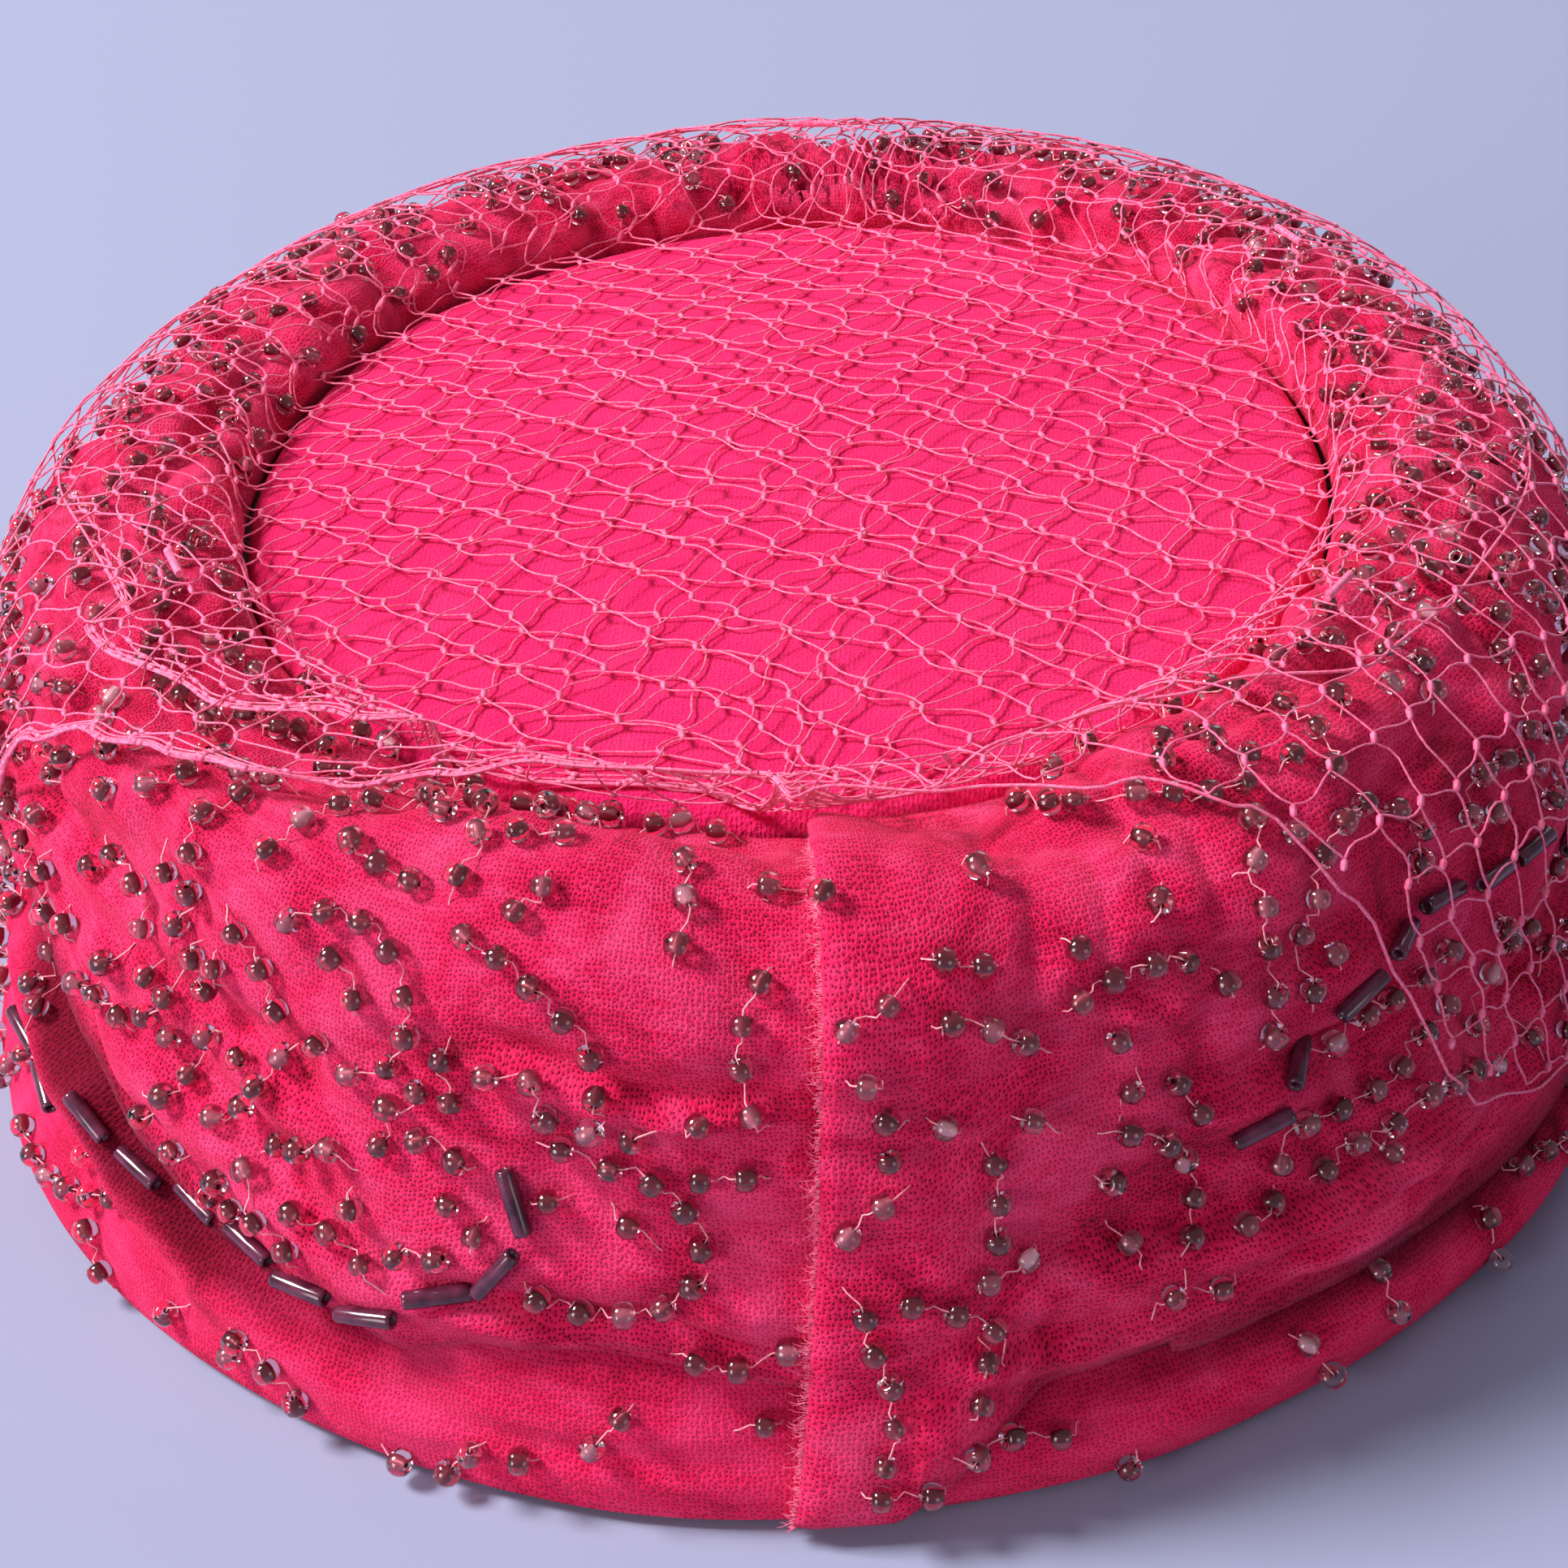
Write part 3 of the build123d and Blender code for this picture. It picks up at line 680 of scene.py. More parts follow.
# (angle, travel) where the lip begins, and (angle, depth) of the valley behind it
LIP_LINE = [(-156, 24), (-148, 20), (-140, 14), (-133, 9.5), (-122, 8), (-118, 5.5), (-113, 2.5),
            (-107, 1.5), (-100, 1.5), (-92, 2), (-85, 4), (-77, 2.5), (-73, 5.5), (-69, 9),
            (-60, 11)]
LIP_DEPTH = [(-158, 0), (-147, 2.6), (-134, 3.8), (-120, 4.2), (-104, 3.8), (-92, 3.4), (-86, 2.2),
             (-79, 1.6), (-72, 2.4), (-66, 2.0), (-56, 0)]


def lip(angle, travel):
    """The near lip of the roll: the tied net presses a valley behind a rounded edge."""
    near = half_turn(angle)
    depth = follow(LIP_DEPTH, near)
    behind = follow(LIP_LINE, near) - travel
    sunk = depth * ease(behind, -1.0, 4.5) - 0.22 * depth * bump(behind, -4.0, 3.0)
    beside = 1.2 * bump(near, -89, 4.5) + 1.0 * bump(near, -70, 4) + 2.2 * bump(near, -79, 7)
    return -sunk - beside * bump(travel, -3, 10)


def overhang(angle, above):
    """The drape swells over its lower fold and turns in at it, by the height above it."""
    near = half_turn(angle)
    left, right = bump(near, -136, 21), bump(near, -46, 28)
    swell = (1.8 * left + 2.0 * right + 0.7) * bump(above, 8.5, 4.5)
    tuck = (2.0 * left + 1.6 * right + 0.7 * bump(near, -100, 12)) * (1 - ease(above, 0.5, 5.5))
    return swell - tuck


def beside_fold(angle, above):
    """How much painted shade darkens the velvet where the drape's lower fold sits on the band."""
    near = half_turn(angle)
    left = bump(near, -135, 21)
    strong = min(1.0, 0.15 + left + 0.8 * bump(near, -46, 26))
    reach = 1.8 + 2.9 * left
    return strong * (1 - ease(above, 0.3, 3.2)) * (1 - ease(-above, reach, reach + 3.3))


def drape_travel(across, fold):
    """Travel at a share across the drape, from its inner edge to its hidden one."""
    return -INNER_LENGTH + across * (section_length(fold) + INNER_LENGTH)


def drape_turn(along):
    """Share along the strip to degrees: columns stand closer at the back."""
    return DRAPE_TURN * (along - 0.062 * math.sin(2 * math.pi * along))


def drape_painted_fold_shade(along, across):
    """How much painted shade darkens the drape at a place on its strip."""
    turned = drape_turn(along)
    fold = fold_height(BACK + turned, turned < LAP_TURN)
    height = section_point(drape_travel(across, fold), fold)[1]
    return beside_fold(BACK + turned, height - fold)


# %% [markdown]
# The lap needs shapes of its own: a raw edge that leans and has small teeth, a stand
# above the layer under it, and ends that are pressed thin.

# %% Lay the drape round
LAP_TURN = 30               # degrees from the raw edge that belong to the lap
LAP_STANDS = 1.7            # height of the raw edge above the drape below it
EDGE_TURN, EDGE_THIN = 1.3, 0.75
END_THIN = 0.9
DRAPE_THICK = 1.1
DRAPE_COLUMNS, DRAPE_ROWS = 640, 74
DRAPE_WIDTH = 74.0


def raw_edge(height):
    """Degrees by which the raw edge leans away from BACK, with its small teeth."""
    top = 58
    lean = 1.2 - 3.2 * (max(0.0, top - height) / top) ** 1.5
    return lean + 0.16 * noise.noise(Vector((height * 0.9, 3.3, 0)))


def lap_stand(turned, travel):
    """How far the lap stands up, with its raw edge and the hidden end pressed thin."""
    stand = LAP_STANDS * (1 - ease(turned, 6, 24))
    stand *= 1 - 0.6 * bump(travel, -5, 9)
    if turned < EDGE_TURN:
        stand -= EDGE_THIN * (1 - turned / EDGE_TURN) ** 2
    stand -= END_THIN * ease(turned, 352, 360)
    return stand - 0.5 * bump(turned, 13.5, 1.6) * bump(travel, 2, 9)


def draped_point(turned, across):
    """A place on the draped velvet: degrees on from the raw edge and share across."""
    angle = BACK + turned
    lapped = turned < LAP_TURN
    fold = fold_height(angle, lapped)
    travel = drape_travel(across, fold)
    out, height, level = section_point(travel, fold)
    if lapped:
        angle += raw_edge(height) * (1 - ease(turned, 0, LAP_TURN))
    point = head_point(angle, out, height)
    turned_up = SHOULDER_LENGTH + (FOOT_Z - fold)
    shown = (1 - ease(travel, turned_up - 1, turned_up + 3)) * (1 - ease(-travel, 8, 11))
    stand = lap_stand(turned, travel)
    if turned > 6:
        stand += overhang(angle, height - fold)
    wave = slack(angle, travel, height) + tuft(angle, travel) + lip(angle, travel)
    firm = 0.5 + 0.5 * ease(turned, 0, 8)
    moved = stand + (wave * firm - dimple(point)) * shown
    return point + section_normal(angle, travel, level) * moved


def drape_flat(along, across):
    """The same place on the flat strip, in millimetres."""
    return math.radians(drape_turn(along)) * MEAN_HALF, across * DRAPE_WIDTH


strip = make_strip(DRAPE_COLUMNS, DRAPE_ROWS)
wrap_strip(strip, lambda along, across: draped_point(drape_turn(along), across),
           drape_flat, drape_painted_fold_shade)
bmesh.ops.reverse_faces(strip, faces=strip.faces)
drape_surface = surface_of(strip)
print("drape", len(strip.verts), "points")
drape = add_piece("velvet_drape", strip, [VELVET_DRAPE])
thicken(drape, DRAPE_THICK)
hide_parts("drape")

# %% [markdown]
# The wadding under the drape follows the velvet that lies on it, so it is made from the
# same places, a little further in.  The frame's plain ring would show where the velvet
# sinks between its folds.

# %% Pad the roll
PAD_UNDER = 2.5             # of the velvet's face
PAD_SWELL = 1.5             # the most that it follows the folds
PAD_THICK = 3.4
PAD_FROM = 40               # angle of its join
PAD_COLUMNS, PAD_ROWS = 220, 30


def pad_point(along, across):
    """A place on the outside of the wadding."""
    angle = PAD_FROM + 360 * along
    fold = follow(FOLD_LINE, angle)
    travel = -9 + across * (SHOULDER_LENGTH + FOOT_Z - fold + 2)
    out, height, level = section_point(travel, fold)
    moved = slack(angle % 360, travel, height) + lip(angle % 360, travel)
    under = min(moved, PAD_SWELL) - PAD_UNDER
    return head_point(angle, out, height) + section_normal(angle, travel, level) * under


def cotton_wadding():
    """Loose cotton fibres."""
    material, nodes, links, shader = new_material("cotton wadding")
    fluff = noise_node(nodes, links, on_object(nodes, links), 0.6, 6.0, 0.7, 1.5)
    dress(links, shader, ramp(nodes, links, fluff, [(0.3, (0.72, 0.67, 0.60)),
                                                    (0.7, (0.93, 0.90, 0.85))]),
          add_bump(nodes, links, fluff, 0.8, 0.8), {"Roughness": 1.0})
    return material


WADDING = cotton_wadding()
strip = make_strip(PAD_COLUMNS, PAD_ROWS)
wrap_strip(strip, pad_point, lambda along, across: (along, across))
bmesh.ops.remove_doubles(strip, verts=strip.verts, dist=1e-4)
bmesh.ops.reverse_faces(strip, faces=strip.faces)
pad = add_piece("wadding_of_roll", strip, [WADDING])
thicken(pad, PAD_THICK)
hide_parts("roll_wadding")
print("padding", len(pad.data.vertices), "points")

# %% [markdown]
# ## The base band
#
# Under the drape a plain band of velvet covers the foot of the hat.  It is turned in
# under the rim, which makes the rim a soft rounded edge, and its upper edge is hidden
# by the fold of the drape.  At the lap the two tiers are almost flush.  On both sides of
# it the band swells out a little way below the fold, so a hollow runs along under the
# fold there.

# %% Wrap the base band
BAND_SLOPE = (RIM_OUT + 0.4 - BAND_TOP_OUT) / BAND_TOP
RIM_ROUND = 1.3
BAND_INNER = 1.4
BAND_HIDDEN = 16.0          # above the seam line, under the drape
BAND_WIDTH = 42.0
BAND_UNDER = 1.5            # of the drape where the band shows above its seam line
BAND_SINKS = 1.1            # no deeper, because its wadding is there
BAND_FROM = BACK + 4        # angle of its join, under the lap
BAND_THICK = 1.0
BAND_COLUMNS, BAND_ROWS = 560, 46


def band_section(travel):
    """Distance out, height and the two parts of the normal along the band."""
    slope = math.atan(BAND_SLOPE)
    start = BAND_TOP + BAND_HIDDEN
    straight = (start - RIM_ROUND) / math.cos(slope)
    if travel < straight:
        height = start - travel * math.cos(slope)
        out = BAND_TOP_OUT + (travel - BAND_HIDDEN) * math.sin(slope)
        under = FOOT_D + (FOOT_Z - height) * math.tan(FLARE) - BAND_UNDER
        out += (under - out) * ease(height, BAND_TOP - 3, BAND_TOP + 2)
        return out, height, math.cos(slope), math.sin(slope)
    edge = BAND_TOP_OUT + (straight - BAND_HIDDEN) * math.sin(slope) - RIM_ROUND
    turn = (travel - straight) / RIM_ROUND
    if turn < math.pi / 2:
        return (edge + RIM_ROUND * math.cos(turn), RIM_ROUND - RIM_ROUND * math.sin(turn),
                math.cos(turn), -math.sin(turn))
    inner = travel - straight - RIM_ROUND * math.pi / 2
    return max(BAND_INNER, edge - inner), 0.0, 0.0, -1.0


def band_stands(angle, height):
    """How far the base band swells beside the lap, sinks under the fold and is slack."""
    near = half_turn(angle)
    left, right = bump(near, -138, 22), bump(near, -46, 28)
    below = follow(FOLD_LINE, near) - height
    padded = (1.2 * bump(near, -97, 14) + 0.8 * bump(near, -70, 9)) * (1 - ease(height, 13, 17))
    padded += (4.8 * left + 2.9 * right) * bump(below, 6.4, 3.7)
    padded += 1.6 * left * (1 - ease(height, 4, 12))
    padded -= (1.4 * left + 1.2 * right) * (1 - ease(below, 0.5, 3.5))
    loose = 0.7 * ripple(angle, height, 26, 11, 8) + 0.3 * ripple(angle, height, 8, 4, 9)
    loose += crease(near, height, (-115, 8.5), (-90, 6.5), 0.8, 0.7, 1.4)
    loose += crease(near, height, (-72, 6.0), (-52, 7.5), 0.5, 0.6, 1.4)
    return padded * (0.6 + 0.4 * ease(height, 0.2, 3.0)) + loose * ease(height, 0.2, 3.0)


def band_point(along, across):
    """A place on the base band."""
    angle = BAND_FROM + 360 * along
    out, height, level, rise = band_section(across * BAND_WIDTH)
    point = head_point(angle, out, height)
    stand = band_stands(angle, height) - 0.7 * dimple(point) * ease(height, 0.4, 2.5)
    normal = outward(angle) * level + Vector((0, 0, rise))
    shown = 1 - ease(height, BAND_TOP + 4, BAND_TOP + 10)
    moved = point + normal * max(stand, -BAND_SINKS) * shown
    moved.z = max(moved.z, 0.0)
    return moved


def band_painted_fold_shade(along, across):
    """How much painted shade darkens the band under the drape's fold."""
    angle = BAND_FROM + 360 * along
    height = band_section(across * BAND_WIDTH)[1]
    return beside_fold(angle, height - follow(FOLD_LINE, half_turn(angle)))


strip = make_strip(BAND_COLUMNS, BAND_ROWS)
wrap_strip(strip, band_point,
           lambda along, across: (2 * math.pi * MEAN_HALF * along, across * BAND_WIDTH),
           band_painted_fold_shade)
bmesh.ops.remove_doubles(strip, verts=strip.verts, dist=1e-4)
bmesh.ops.reverse_faces(strip, faces=strip.faces)
band_surface = surface_of(strip)
print("base band", len(strip.verts), "points")
band = add_piece("velvet_base_band", strip, [VELVET_BAND])
thicken(band, BAND_THICK)
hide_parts("base_band")

# %% [markdown]
# ## The crown
#
# An oval of velvet is stretched over a thin pad, and its edge goes down into the groove
# beside the roll.  A square grid is pressed into a round shape, so the middle has no
# pole where the pile pattern would pinch.

# %% Stretch the crown
CROWN_EDGE_ROUND = 3.0
CROWN_EDGE_DROP = 2.2
CROWN_FLAT = min(CROWN_WIDE, CROWN_LONG) - CROWN_EDGE_ROUND
CROWN_TRAVEL = CROWN_FLAT + CROWN_EDGE_ROUND * math.pi / 2 + CROWN_EDGE_DROP
CROWN_THICK = 1.2
CROWN_CELLS = 150


def crown_height(point):
    """Height of the crown velvet above the rim at a level place."""
    dome = (point.x ** 2 + point.y ** 2) / (2 * CROWN_DOME)
    swell = 0.9 * noise.noise(Vector((point.x / 42, point.y / 42, 3.3)))
    swell += 0.28 * noise.noise(Vector((point.x / 13, point.y / 13, 8.3)))
    return CROWN_TOP - 0.2 - dome + swell


def crown_point(along, across):
    """A place on the crown, from a share of the square."""
    x, y = 2 * along - 1, 2 * across - 1
    disc = Vector((x * math.sqrt(1 - y * y / 2), y * math.sqrt(1 - x * x / 2), 0))
    share = disc.length
    travel = share * CROWN_TRAVEL
    way = disc.normalized() if share > 0 else disc
    flat = min(travel, CROWN_FLAT)
    bend = min(math.pi / 2, max(0.0, travel - CROWN_FLAT) / CROWN_EDGE_ROUND)
    drop = max(0.0, travel - CROWN_FLAT - CROWN_EDGE_ROUND * math.pi / 2)
    reach = (flat + CROWN_EDGE_ROUND * math.sin(bend)) / (CROWN_FLAT + CROWN_EDGE_ROUND)
    point = Vector((way.x * reach * CROWN_WIDE, way.y * reach * CROWN_LONG, 0))
    sunk = CROWN_EDGE_ROUND * (1 - math.cos(bend)) + drop
    point.z = max(crown_height(point) - sunk, CROWN_FLOOR + 0.6)
    return point


strip = make_strip(CROWN_CELLS, CROWN_CELLS)
wrap_strip(strip, crown_point, lambda along, across: crown_point(along, across).xy)
print("crown", len(strip.verts), "points")
crown = add_piece("velvet_crown", strip, [VELVET_CROWN])
thicken(crown, CROWN_THICK)
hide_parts("crown_velvet")

# %% [markdown]
# ## Glass beads
#
# A seed bead is a short cut of glass tube with its ends melted round.  These are clear
# glass with a smoky plum lining in the hole, which the glass round it magnifies.  One
# section is spun round its hole with a few faces, and a copy stands at each place that
# the frame gives, pressed against the velvet there.  A bugle is a longer cut of tube,
# coloured right through.

# %% Make the bead glass
def clear_glass():
    """Clear glass with a faint tint that differs a little from bead to bead."""
    material, nodes, links, shader = new_material("clear bead glass")
    colour = ramp(nodes, links, layer_value(nodes, "tone"),
                  [(0.0, (0.92, 0.50, 0.60)), (0.6, (0.97, 0.70, 0.78)), (1.0, (1, 0.90, 0.93))])
    wave = noise_node(nodes, links, on_object(nodes, links), 0.7, 1.0)
    dress(links, shader, colour, add_bump(nodes, links, wave, 0.08, 0.2),
          {"Roughness": 0.02, "IOR": 1.5, "Transmission Weight": 1.0, "Coat Weight": 0.6,
           "Coat Roughness": 0.15})
    return material


def bead_lining():
    """The smoky plum lining of the hole, lighter in some beads."""
    material, nodes, links, shader = new_material("bead lining")
    colour = ramp(nodes, links, layer_value(nodes, "tone"),
                  [(0.0, (0.15, 0.014, 0.026)), (0.5, (0.27, 0.036, 0.058)),
                   (0.88, (0.44, 0.12, 0.17)), (1.0, (0.88, 0.50, 0.57))])
    links.new(colour, shader.inputs["Base Color"])
    set_values(shader, {"Metallic": 0.2, "Roughness": 0.38, "Specular IOR Level": 0.3})
    return material


def plum_glass():
    """Dark plum glass of the bugles, cloudy and a little uneven."""
    material, nodes, links, shader = new_material("plum bugle glass")
    cloud = noise_node(nodes, links, on_object(nodes, links), 0.55, 2.0)
    colour = ramp(nodes, links, cloud, [(0.3, (0.035, 0.006, 0.018)), (0.7, (0.13, 0.022, 0.055))])
    dress(links, shader, colour, add_bump(nodes, links, cloud, 0.3, 0.1),
          {"Roughness": 0.16, "Coat Weight": 0.15, "IOR": 1.52})
    return material


CLEAR_GLASS, BEAD_LINING, PLUM_GLASS = clear_glass(), bead_lining(), plum_glass()
print("glasses", CLEAR_GLASS.name, BEAD_LINING.name, PLUM_GLASS.name)

# %% Spin one bead and one bugle
LINED_HOLE = 0.55           # faces nearer than this to the axis are the lining
SEED_SECTION = [(0.26, -0.80), (0.40, -0.40), (0.45, 0.0), (0.40, 0.40), (0.26, 0.80),
                (0.60, 0.95), (0.95, 0.84), (1.18, 0.48), (1.25, 0.0), (1.18, -0.48),
                (0.95, -0.84), (0.60, -0.95)]
BUGLE_SECTION = [(0.42, -2.95), (0.42, 2.95), (0.60, 3.05), (0.80, 2.98), (0.86, 2.7),
                 (0.86, -2.7), (0.80, -2.98), (0.60, -3.05)]


def spun_bead(name, section, sides):
    """A bead about the z axis; the faces of its hole take the second material."""
    bm = bmesh.new()
    verts = [bm.verts.new((out, 0, height)) for out, height in section]
    edges = [bm.edges.new((verts[k - 1], verts[k])) for k in range(len(verts))]
    bmesh.ops.spin(bm, geom=verts + edges, cent=(0, 0, 0), axis=(0, 0, 1),
                   angle=2 * math.pi, steps=sides, use_merge=True)
    bmesh.ops.remove_doubles(bm, verts=bm.verts, dist=1e-4)
    bmesh.ops.recalc_face_normals(bm, faces=bm.faces)
    for face in bm.faces:
        inside = all(vert.co.xy.length < LINED_HOLE for vert in face.verts)
        face.material_index = 1 if inside else 0
    mesh = bpy.data.meshes.new(name)
    bm.to_mesh(mesh)
    bm.free()
    return mesh


seed_mesh = spun_bead("one seed bead", SEED_SECTION, sides=12)
bugle_mesh = spun_bead("one bugle", BUGLE_SECTION, sides=10)
print("faces in a seed bead", len(seed_mesh.polygons))

# %% Seat the beads on the velvet
SEED_SEAT = 1.02            # centre of a bead above the velvet: it presses in a little
BUGLE_SEAT = 0.72
PALE_BEADS = 1.9            # power of a random tone: the higher, the fewer
WALL_TOP = 50               # below this every bead faces away from the hat's axis
chance = random.Random(1958)


def nearest_velvet(point):
    """The nearest place on the drape or the band, and the normal there."""
    found = [surface.find_nearest(point) for surface in (drape_surface, band_surface)]
    return min(found, key=lambda hit: hit[3])[:2]


def seat(centre, axis, height):
    """Move a bead onto the nearest velvet and lay its hole along the cloth.

    Where the nearest cloth is the underside of the rim, the bead hangs beside it.
    """
    spot, normal = nearest_velvet(centre)
    if normal.dot(centre - Vector((0, 0, centre.z))) < 0 and centre.z < WALL_TOP:
        normal = -normal
    if normal.z < -0.7:
        normal = Vector((0, 0, -1)) * 0.2 + outward(math.degrees(
            math.atan2(centre.y / HALF_LENGTH, centre.x / HALF_WIDTH)))
        normal.normalize()
    flat = (axis - normal * axis.dot(normal)).normalized()
    return spot + normal * height, flat, normal


def bead_frame(centre, flat, normal, tip):
    """The matrix that stands a bead at its seat, tipped and turned a little."""
    side = normal.cross(flat).normalized()
    turn = Matrix((side, normal, flat)).transposed().to_4x4()
    tilt = Matrix.Rotation(chance.gauss(0, tip), 4, "X")
    tilt = tilt @ Matrix.Rotation(chance.gauss(0, tip), 4, "Y")
    spin = Matrix.Rotation(chance.uniform(0, 6.28), 4, "Z")
    return Matrix.Translation(centre) @ turn @ tilt @ spin


def string_beads(name, mesh, places, height, materials, tip=0.22, vary=0.07):
    """One piece with a copy of a bead at each place; gives back the seats too.

    The tone layer makes a few beads much paler than the rest.
    """
    bm = bmesh.new()
    tone = bm.verts.layers.float.new("tone")
    seats = []
    for centre, axis in places:
        centre, flat, normal = seat(centre, axis, height)
        matrix = bead_frame(centre, flat, normal, tip)
        size = 1 + chance.uniform(-vary, vary)
        before = len(bm.verts)
        bm.from_mesh(mesh)
        bm.verts.ensure_lookup_table()
        new = bm.verts[before:]
        shade = chance.random() ** PALE_BEADS
        for vert in new:
            vert[tone] = shade
        bmesh.ops.transform(bm, matrix=matrix @ Matrix.Scale(size, 4), verts=new)
        seats.append((centre, (matrix.to_3x3() @ Vector((0, 0, 1))).normalized(), normal))
    return add_piece(name, bm, materials), seats


bead_seats = []
for node, places in seed_places.items():
    piece, seats = string_beads(node.replace("seed_beads", "glass_seed_beads"), seed_mesh,
                                places, SEED_SEAT, [CLEAR_GLASS, BEAD_LINING])
    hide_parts(node)
    bead_seats += seats
piece, bugle_seats = string_beads("plum_bugles", bugle_mesh, bugle_places, BUGLE_SEAT,
                                  [PLUM_GLASS, PLUM_GLASS], tip=0.04, vary=0.04)
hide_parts("bugle_beads")
print("beads", len(bead_seats), "bugles", len(bugle_seats))

# %% [markdown]
# ## Threads
#
# The beads were sewn with a pale peach thread that shows beside each one, and the veil
# is knotted from a finer pink thread.  A thread is a curve with a round section: it is
# quick to lay, and it is made a mesh when all of its kind are laid.

# %% Make the threads
def thread_material(name, dark, light, roughness, shine):
    """Twisted thread: a light and dark streak in object coordinates."""
    material, nodes, links, shader = new_material(name)
    ply = noise_node(nodes, links, on_object(nodes, links), 2.2, 2.0)
    dress(links, shader, ramp(nodes, links, ply, [(0.35, dark), (0.65, light)]),
          add_bump(nodes, links, ply, 0.4, 0.1), {"Roughness": roughness, "Sheen Weight": shine})
    return material


STITCH = thread_material("peach sewing thread", (0.80, 0.19, 0.25), (0.95, 0.42, 0.47), 0.5, 0.15)
NET = thread_material("pink net thread", (0.82, 0.07, 0.21), (0.96, 0.20, 0.37), 0.5, 0.12)


def lay_threads(name, runs, radius, material):
    """A mesh piece from runs of (point, thickness share) in millimetres."""
    curve = bpy.data.curves.new(name, "CURVE")
    curve.dimensions = "3D"
    curve.bevel_depth = radius * MM
    curve.bevel_resolution = 0
    curve.use_fill_caps = True
    for run in runs:
        spline = curve.splines.new("POLY")
        spline.points.add(len(run) - 1)
        for point, (place, share) in zip(spline.points, run):
            point.co = (*(place * MM), 1)
            point.radius = share
    holder = bpy.data.objects.new(name + " curve", curve)
    bpy.context.collection.objects.link(holder)
    graph = bpy.context.evaluated_depsgraph_get()
    mesh = bpy.data.meshes.new_from_object(holder.evaluated_get(graph))
    bpy.data.objects.remove(holder)
    return piece_of(name, mesh, [material])


# %% Sew the beads on
STITCH_RADIUS = 0.09
STITCH_REACH = 5.2          # from a bead to the next one on its thread
STITCH_LEAVES = 1.35        # where the thread leaves the hole, from the bead's centre
IN_HOLE = 0.4
SUNK = -0.2                 # a thread's end goes into the velvet
LOOSE_ENDS = 0.42           # share of bead ends with a longer thread of their own
bead_tree = KDTree(len(bead_seats))
for index, (centre, _, _) in enumerate(bead_seats):
    bead_tree.insert(centre, index)
bead_tree.balance()


def on_velvet(point, height):
    """The place at a height over the velvet nearest to a point."""
    spot, normal = nearest_velvet(point)
    way = point - spot
    if way.length > 0.2 and way.dot(normal) < 0:
        normal = -normal
    return spot + normal * height


def stitch_run(index, side):
    """The thread from one end of a bead's hole: to the next bead, or into the cloth."""
    centre, axis, normal = bead_seats[index]
    way = axis * side
    start = centre + way * IN_HOLE
    leave = centre + way * STITCH_LEAVES - normal * 0.15
    for place, other, distance in bead_tree.find_range(centre, STITCH_REACH):
        if other == index or distance < 2.2:
            continue
        towards = (place - centre).normalized()
        if towards.dot(way) > 0.72:
            if other < index:
                return None
            far = bead_seats[other][1]
            far = -far if far.dot(towards) > 0 else far
            land = place + far * STITCH_LEAVES
            middle = on_velvet((leave + land) / 2, 0.28)
            return [(start, 1), (leave, 1), (middle, 1), (land, 1), (place + far * IN_HOLE, 1)]
    if chance.random() > LOOSE_ENDS:
        return [(start, 1), (leave, 1), (on_velvet(centre + way * 1.7, SUNK), 1)]
    reach = chance.uniform(2.2, 3.8)
    bent = way + normal.cross(way) * chance.uniform(-0.5, 0.5)
    return [(start, 1), (leave, 1), (on_velvet(centre + bent * reach * 0.75, 0.22), 1),
            (on_velvet(centre + bent * reach, SUNK), 1)]


stitches = [stitch_run(index, side) for index in range(len(bead_seats)) for side in (-1, 1)]
stitches = [run for run in stitches if run]
sewing = lay_threads("bead_stitches", stitches, STITCH_RADIUS, STITCH)
print("stitches", len(stitches), "faces", len(sewing.data.polygons))

# %% [markdown]
# The raw edge of the lap is cut across the pile, so short fibres and a few pulled
# threads stand off it.

# %% Fray the raw edge
FIBRES = 900
FIBRE_RADIUS = 0.04
FRAY = thread_material("loose velvet fibres", (0.90, 0.05, 0.19), (1.0, 0.20, 0.36), 0.7, 0.5)


def loose_fibre(across, length):
    """A short bent fibre that leaves the raw edge at a share across the drape."""
    root = draped_point(0.0, across)
    inside = draped_point(1.2, across)
    along = draped_point(0.0, across + 0.01) - root
    away = (root - inside).normalized()
    lift = away.cross(along.normalized())
    lift = lift if lift.dot(outward(BACK)) > 0 else -lift
    lean = along.normalized() * chance.gauss(0, 1.1)
    bend = away + lean + lift * chance.uniform(-0.2, 1.1)
    tip = root + bend.normalized() * length
    middle = root.lerp(tip, 0.5) + lift * length * 0.18
    return [(root - away * 0.3, 1), (middle, 0.8), (tip, 0.4)]


fibres = [loose_fibre(chance.uniform(0.14, 0.93), 0.25 + 1.6 * chance.random() ** 4)
          for _ in range(FIBRES)]
fray = lay_threads("frayed_edge", fibres, FIBRE_RADIUS, FRAY)
print("fibres", len(fibres))

# %% [markdown]
# ## The veil
#
# The veil is a round of diamond net with a cord along its edge.  It lies double over the
# crown, bridges the groove, and falls over the roll at the sides and front; at the back
# its edge is gathered along the roll and tied down beside the lap.  The net is made
# flat, as a lattice of knots, and each flat place is carried to the hat by its angle and
# its distance from the middle.  Cells narrow by themselves where a round of net turns
# down a wall.

# %% Carry the flat net to the hat
NET_OVER_ROLL = 3.0
NET_SUNK = 0.6              # of that height, at the crest
BRIDGE = 14.5               # net from the crown's edge up to the crest
NET_ROUND = ROLL_RADIUS + NET_OVER_ROLL
NET_SHOULDER = NET_ROUND * (math.pi / 2 - FLARE)
